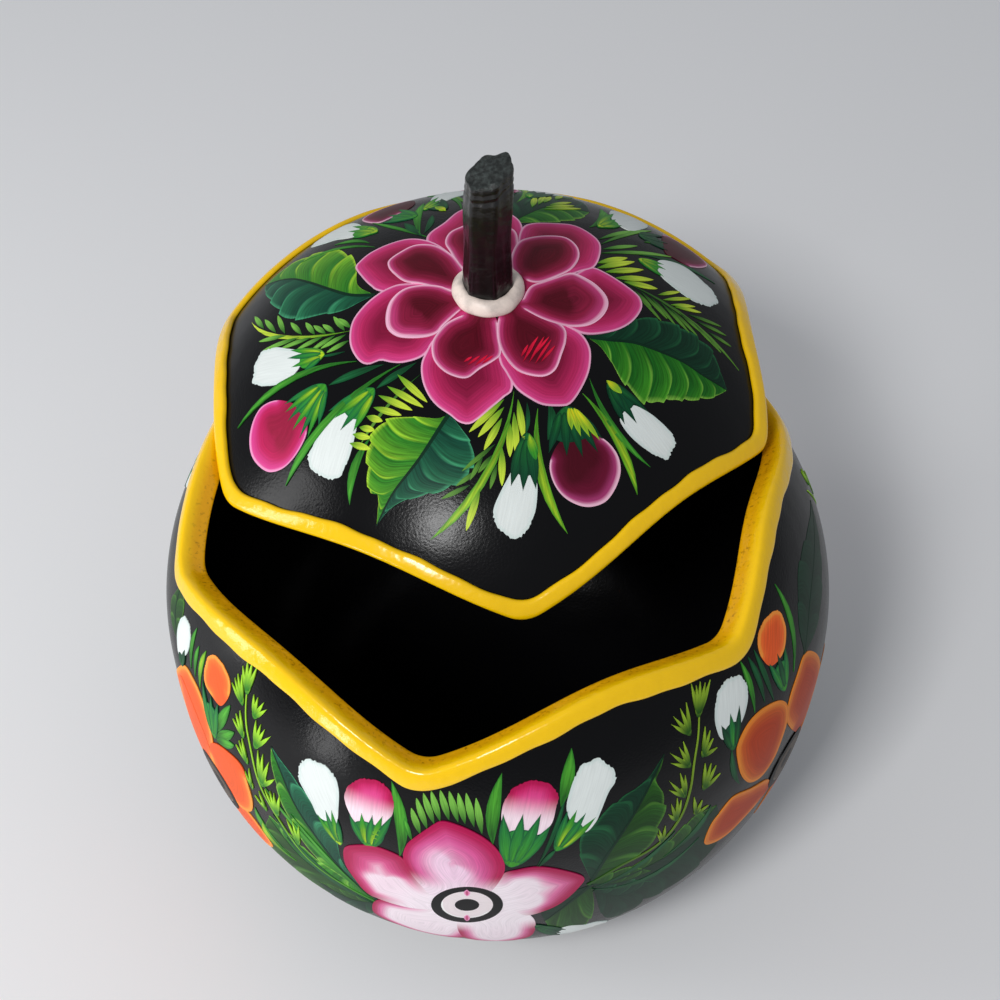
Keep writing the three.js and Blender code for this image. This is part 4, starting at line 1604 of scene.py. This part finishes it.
    def leaves(self) -> None:
        """Sketches the broad leaves, each by its rib and the border of its two halves."""
        leaf = partial(self.sketch.leaf, "bowl_leaves")
        leaf((FRESH_HALF, TEAL_HALF), (376, 901, 343, 873, 313, 835, 293, 804, 281, 776, 270, 747),
            (354, 889, 328, 871, 307, 850, 291, 826, 280, 804, 274, 783, 270, 763), (354, 880, 341, 862,
            335, 838, 321, 815, 305, 795, 293, 778, 278, 759), 4)
        leaf((DEEP_HALF, MOSS_HALF), (592, 882, 607, 858, 621, 837, 646, 795, 665, 755), (585, 868,
            579, 852, 582, 836, 595, 823, 609, 809, 623, 797, 636, 790, 649, 779, 659, 765), (611, 874,
            634, 860, 652, 846, 661, 827, 667, 810, 665, 795, 657, 782, 662, 768), 5)
        leaf((NIGHT_HALF, MOSS_HALF), (592, 886, 570, 904, 545, 922), (575, 892, 556, 900, 540, 910),
            (594, 912, 584, 936, 560, 944), 3)
        leaf((MOSS_HALF, NIGHT_HALF), (592, 886, 620, 884, 652, 872), (606, 877, 630, 868), (612, 898,
            634, 892), 4)
        leaf((MOSS_HALF, FRESH_HALF), (376, 902, 340, 887, 300, 858, 268, 818), (350, 910, 312, 900,
            280, 876, 258, 844), (346, 880, 316, 860, 292, 838, 270, 818), 5)
        leaf((DEEP_HALF, MOSS_HALF), (378, 905, 350, 900, 318, 884), (362, 928, 330, 918), (352, 896,
            330, 886), 4)
        leaf((DEEP_HALF, NIGHT_HALF), (594, 892, 622, 897, 654, 883), (612, 884, 636, 880), (606, 920,
            636, 918), 4)
        leaf((MOSS_HALF, NIGHT_HALF), (594, 888, 640, 872, 684, 846, 718, 806), (622, 874, 662, 848,
            694, 818), (650, 900, 696, 874, 722, 836), 6)
        leaf((NIGHT_HALF, NIGHT_HALF), (806, 655, 813, 590, 812, 500), (800, 620, 801, 560), (820, 620,
            823, 560), 5)
        leaf((MOSS_HALF, MOSS_HALF), (176, 640, 174, 610, 180, 585), (170, 620, 170, 600), (181, 622,
            183, 600), 3)

    def blades(self) -> None:
        """Sketches the long narrow leaves and stems."""
        add = partial(self.sketch.blade, "bowl_blades")
        add(BLADE, (493, 846, 494, 806, 502, 774), 2.8, swell=0.5)
        add(BLADE, (399, 858, 400, 818, 391, 782), 2.7, swell=0.6)
        add(BLADE, (412, 842, 407, 830, 404, 819), 1.2)
        add(BLADE_SHADE, (537, 868, 552, 840, 566, 796), 1.0)
        add(BLADE, (561, 808, 568, 780, 572, 749), 2.7, swell=0.5)
        add(BLADE_SHADE, (539, 868, 547, 860, 556, 851), 1.2)
        add(BLADE, (756, 713, 752, 688, 741, 661), 1.5)
        add(BLADE_SHADE, (766, 703, 760, 680, 749, 657), 1.5)
        add(BLADE_SHADE, (775, 701, 766, 675, 755, 650), 1.4)
        add(BLADE, (795, 672, 792, 620, 776, 584), 1.7)
        add(BLADE_SHADE, (741, 785, 734, 768, 733, 750), 1.5)
        add(BLADE, (190, 669, 190, 648, 196, 628), 1.6)
        add(BLADE, (194, 677, 194, 662, 198, 646), 1.5)
        add(BLADE_LIME, (199, 689, 199, 670, 205, 651), 1.7)
        add(BLADE, (376, 903, 310, 845, 262, 785), 1.8, layer=3)
        add(BLADE_SHADE, (376, 905, 318, 868, 272, 815), 2.4, layer=3)
        add(BLADE, (376, 903, 330, 862, 290, 815), 1.5, layer=4)
        add(BLADE_SHADE, (376, 906, 330, 880, 286, 838), 2.2, layer=3)
        add(BLADE_LIME, (296, 862, 276, 846, 262, 822), 3.2, layer=3)
        add(BLADE, (290, 856, 268, 834, 254, 808), 2.8, layer=2)
        add(BLADE_SHADE, (590, 890, 640, 866, 676, 832), 1.7, layer=3)
        add(BLADE_SHADE, (592, 890, 650, 878, 700, 838), 2.0, layer=3)
        add(BLADE_SHADE, (664, 858, 690, 838, 712, 806), 2.2, layer=3)
        self.sketch.spindles("bowl_blades", BLADE, (215, 733, 229, 706, 215, 739, 233, 733, 216, 741,
            233, 746), 2.6)

    def sprigs(self) -> None:
        """Sketches the two tufted sprigs and the comb of leaflets over the front flower."""
        tuft = partial(self.sketch.tuft, "bowl_sprigs")
        left_stem = (374, 902, 354, 892, 309, 861, 281, 825, 260, 788, 250, 751, 245, 722, 246, 690)
        right_stem = (588, 886, 621, 867, 658, 846, 681, 819, 691, 791, 695, 764, 699, 738, 700, 714)
        self.sketch.stem("bowl_sprigs", SPRIG_BRIGHT, left_stem, 0.85)
        self.sketch.stem("bowl_sprigs", SPRIG_OLIVE, right_stem, 0.85)
        left = (
            ((246, 695), (242, 666, 247, 660, 252, 661, 257, 666), 2.3),
            ((242, 706), (231, 683, 234, 678, 237, 674, 241, 675), 2.0),
            ((253, 719), (253, 695, 257, 698, 263, 703, 266, 710), 2.2),
            ((243, 739), (232, 719, 235, 714, 239, 711), 1.9),
            ((254, 749), (255, 721, 260, 725, 264, 730, 270, 737), 2.3),
            ((247, 765), (235, 745, 238, 741, 241, 739), 1.8),
            ((261, 787), (257, 751, 262, 755, 268, 763, 274, 780), 2.6),
            ((277, 817), (264, 790, 269, 792, 273, 794, 279, 796), 2.2),
            ((252, 790), (244, 772, 248, 769), 1.6),
            ((266, 812), (254, 796, 258, 792), 1.6),
            ((298, 846), (286, 820, 292, 822, 298, 826), 2.0),
        )
        right = (
            ((699, 718), (692, 684, 697, 686, 701, 682, 706, 683, 711, 680), 2.2),
            ((691, 736), (672, 725, 674, 717, 681, 709, 687, 703), 2.0),
            ((703, 758), (706, 727, 711, 731, 714, 739, 718, 748), 2.0),
            ((691, 768), (672, 764, 671, 754, 680, 748, 684, 742), 2.0),
            ((704, 791), (706, 764, 712, 764, 717, 766, 721, 774), 2.2),
            ((686, 798), (670, 791, 670, 782, 681, 774, 686, 776), 1.9),
            ((677, 822), (669, 815, 672, 805, 678, 799, 682, 801), 1.8),
            ((696, 816), (695, 798, 703, 801, 709, 806), 2.0),
            ((663, 843), (658, 835, 660, 831, 666, 827), 1.6),
        )
        for base, tips, palm in left:
            tuft(SPRIG_BRIGHT, base, tips, palm)
        for base, tips, palm in right:
            tuft(SPRIG_OLIVE, base, tips, palm)
        comb = (420, 835, 411, 809, 427, 830, 416, 799, 434, 825, 423, 794, 440, 822, 431, 792, 449, 821,
            440, 791, 458, 823, 449, 792, 465, 825, 458, 794, 474, 828, 466, 794, 482, 835, 476, 799)
        self.sketch.spindles("bowl_sprigs", SPRIG_PALE, comb, 1.45)

    def buds(self) -> None:
        """Sketches the pink, white and orange buds with their caps."""
        patch = partial(self.sketch.patch, "bowl_buds")
        cap = partial(self.sketch.cap, "bowl_calyxes")
        patch(PINK_BUD, (368, 835), (364, 779, 350, 784, 344, 794, 345, 804, 350, 816, 356, 828, 366, 831,
            377, 829, 389, 820, 393, 811, 393, 798, 383, 784))
        cap((CUP_GREEN, CUP_LIME), (368, 848), (349, 815, 361, 814, 372, 816, 382, 817, 392, 816), 1.7,
            6)
        patch(PINK_BUD, (522, 842), (502, 824, 503, 806, 511, 791, 524, 783, 539, 781, 552, 786, 559, 796,
            556, 810, 552, 824, 542, 834, 524, 838, 510, 836))
        cap((CUP_GREEN,), (511, 868), (503, 815, 523, 815, 541, 815, 551, 826), 2.6, 6)
        patch(WHITE, (334, 822), (301, 761, 313, 760, 326, 767, 334, 776, 338, 790, 338, 806, 336, 824,
            326, 822, 317, 816, 311, 804, 303, 790, 297, 776))
        cap((CUP_LIME, CUP_GREEN), (340, 846), (317, 815, 325, 811, 331, 811, 337, 820), 1.4)
        patch(WHITE, (578, 830), (591, 760, 602, 759, 614, 769, 617, 780, 609, 793, 602, 810, 596, 823,
            586, 833, 576, 829, 569, 818, 567, 806, 572, 786, 579, 769))
        cap((CUP_GREEN, CUP_LIME), (556, 852), (568, 812, 577, 811, 586, 814, 596, 818), 1.7)
        patch(WHITE, (733, 745), (716, 711, 718, 695, 725, 682, 738, 675, 746, 680, 749, 693, 747, 709,
            742, 723, 734, 734, 723, 740, 717, 727))
        cap((CUP_DARK, CUP_GREEN), (734, 751), (722, 726, 731, 714, 740, 706), 1.7)
        patch(WHITE, (180, 660), (176, 635, 179, 620, 184, 616, 189, 627, 189, 643, 185, 655, 178, 655))
        cap((CUP_DARK,), (181, 666), (178, 652, 184, 650), 1.8)
        patch(WHITE, (556, 934), (556, 932, 570, 927, 586, 927, 600, 926, 612, 932, 606, 946, 586, 954,
            564, 946))
        patch(ORANGE_BUD, (222, 706), (204, 667, 207, 657, 213, 655, 221, 663, 228, 678, 229, 692,
            225, 702, 219, 706, 211, 696, 205, 686, 203, 675))
        cap((CUP_GREEN,), (214, 739), (202, 682, 210, 697, 217, 704), 2.0)
        patch(ORANGE_BUD, (776, 668), (759, 642, 761, 629, 768, 617, 778, 610, 784, 617, 787, 631,
            785, 650, 778, 662, 770, 666, 762, 656))
        cap((CUP_DARK,), (536, 926), (566, 931, 562, 939, 562, 948), 2.0)
        cap((CUP_GREEN, CUP_DARK), (786, 691), (770, 664, 778, 654, 786, 648), 1.8)

    def draw(self) -> None:
        """Sketches the whole bowl: its front, the same twice more at the back, and the side flowers."""
        self.leaves()
        self.blades()
        self.sprigs()
        self.buds()
        self.pink_flower()
        pieces = ("bowl_leaves", "bowl_blades", "bowl_sprigs", "bowl_buds", "bowl_calyxes", "bowl_petals")
        self.sketch.repeat(pieces, (144.0, -144.0), 0.3, 0.66)
        self.orange_flowers()


@dataclass(frozen=True)
class Studio:
    """A pale floor under a dim pale sky, with windows low at the left and a lamp at the front left."""

    floor_grey: str = "#F2F2F3"
    world_grey: str = "#E8ECF2"
    world_light: float = 0.38
    floor_size: float = 6.0

    def add_floor(self) -> None:
        """Adds the floor."""
        half = self.floor_size / 2
        mesh = bpy.data.meshes.new("floor")
        corners = [(-half, -half, 0), (half, -half, 0), (half, half, 0), (-half, half, 0)]
        mesh.from_pydata(corners, [], [(0, 1, 2, 3)])
        material, add = new_material("pale_paper_floor")
        shader = add("BsdfDiffuse", {"Color": linear(self.floor_grey)})
        add("OutputMaterial", {"Surface": shader.outputs["BSDF"]})
        mesh.materials.append(material)
        floor = bpy.data.objects.new("floor", mesh)
        bpy.context.collection.objects.link(floor)

    def add_world(self) -> None:
        """Sets the world, one pale grey."""
        world = bpy.data.worlds.new("studio")
        world.use_nodes = True
        tree = world.node_tree
        tree.nodes.clear()
        inputs = {"Color": linear(self.world_grey), "Strength": self.world_light}
        back = add_node(tree, "Background", inputs)
        add_node(tree, "OutputWorld", {"Surface": back.outputs["Background"]})
        bpy.context.scene.world = world

    def add_light(
        self, name: str, azimuth_degrees: float, height: float, distance: float, size: tuple, power: float
    ) -> None:
        """Adds a rectangular light that faces the box.

        Args:
            name: Its name.
            azimuth_degrees: Where it stands round the box.
            height: How high its middle is, in metres.
            distance: How far it stands from the box's axis, in metres.
            size: Its width and height in metres.
            power: Its power in watts.
        """
        data = bpy.data.lights.new(name, "AREA")
        data.shape = "RECTANGLE"
        data.size, data.size_y = size
        data.energy = power
        light = bpy.data.objects.new(name, data)
        azimuth = np.radians(azimuth_degrees)
        place = np.array([distance * np.cos(azimuth), distance * np.sin(azimuth), height])
        turn = Matrix(aim_axes(place - (0, 0, 0.08)).T.tolist()).to_4x4()
        light.matrix_world = Matrix.Translation(place) @ turn
        bpy.context.collection.objects.link(light)

    def build(self) -> None:
        """Adds everything."""
        self.add_floor()
        self.add_world()
        self.add_light("left_window", -174, 0.22, 0.6, (0.16, 0.4), 1.2)
        self.add_light("front_left_window", -136, 0.07, 0.44, (0.06, 0.12), 0.2)
        self.add_light("front_left_lamp", -119, 0.85, 0.62, (0.22, 0.22), 4.6)
        bpy.context.scene.view_settings.view_transform = "Standard"


def aim_axes(back: Array) -> Array:
    """The right, up and back directions, as rows, of a lamp or camera that looks along -back."""
    back = unit(back)
    right = unit(np.cross((0.0, 0.0, 1.0), back))
    return np.array([right, np.cross(back, right), back])


def lid_placing(gourd: Gourd, cut: Cut) -> Placing:
    """Where the lid lies: turned and pushed back by known sizes, its height read from the part's lid shell.

    Args:
        gourd: The form.
        cut: The line that the lid ends on.

    Returns:
        The lid's placing.
    """
    turn = euler((-4.5, 1.1, 17.4))
    shift_back = 31.8
    edge_gap = 1.45
    azimuth = np.linspace(0, 2 * np.pi, 3600, endpoint=False)
    latitude = cut.sharp(azimuth)
    latitude = latitude + edge_gap / gourd.reach(latitude)
    edges = np.concatenate([gourd.skin(azimuth, latitude, lift) for lift in (0.0, -gourd.wall)])
    lowest = float((edges @ turn.T)[:, 2].min())
    low_corner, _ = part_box("lid_shell")
    return Placing(turn, np.array([0.0, shift_back, low_corner[2] / MM - lowest]))


def main() -> None:
    """Imports the part, builds the box in order, and adds the studio and the camera."""
    logging.basicConfig(level=logging.INFO, format="%(message)s")
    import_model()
    gourd = Gourd()
    cut = Cut(gourd)
    view = PhotoView()
    bowl = Placing(np.eye(3), np.array([0.0, 0.0, gourd.centre_height]))
    lid = lid_placing(gourd, cut)
    log.info("the lid's centre is at %s", np.round(lid.centre, 2))

    lacquer = BlackLacquer().build()
    enamel = ThickEnamel().build()
    paint = BrushedPaint().build()
    varnish = PlainFinish("varnished_stem", "#070707", "#0F0D0D", 0.26, 2.6, 0.36, 0.4)
    sawn = PlainFinish("sawn_stem_end", "#181C1A", "#3C4341", 0.55, 0.9, 0.5)
    filler = PlainFinish("cream_filler", "#F6E4D8", "#C9BDB4", 0.42, 3.2, 0.25)

    Shell(gourd, cut, bowl, 1, "bowl", "bowl_shell").build(lacquer)
    Shell(gourd, cut, lid, -1, "lid", "lid_shell").build(lacquer)
    EnamelBead(gourd, cut, bowl, 1, "bowl", "bowl_rim_bead", 4.6).build(enamel)
    EnamelBead(gourd, cut, lid, -1, "lid", "lid_rim_bead", 4.1).build(enamel)
    stalk = Stalk(gourd, lid)
    stalk.build_stem(varnish.build(), sawn.build())
    stalk.build_collar(filler.build())

    for placing, painting, side, body in ((lid, LidPainting, -1, "lid"), (bowl, BowlPainting, 1, "bowl")):
        sketch = Sketch(gourd, placing, view)
        painting(sketch).draw()
        painter = Painter(gourd, cut, placing, side, body, paint)
        for name, marks in sketch.marks.items():
            painter.build(name, marks)

    Studio().build()
    view.add_camera()


if __name__ == "__main__":
    main()
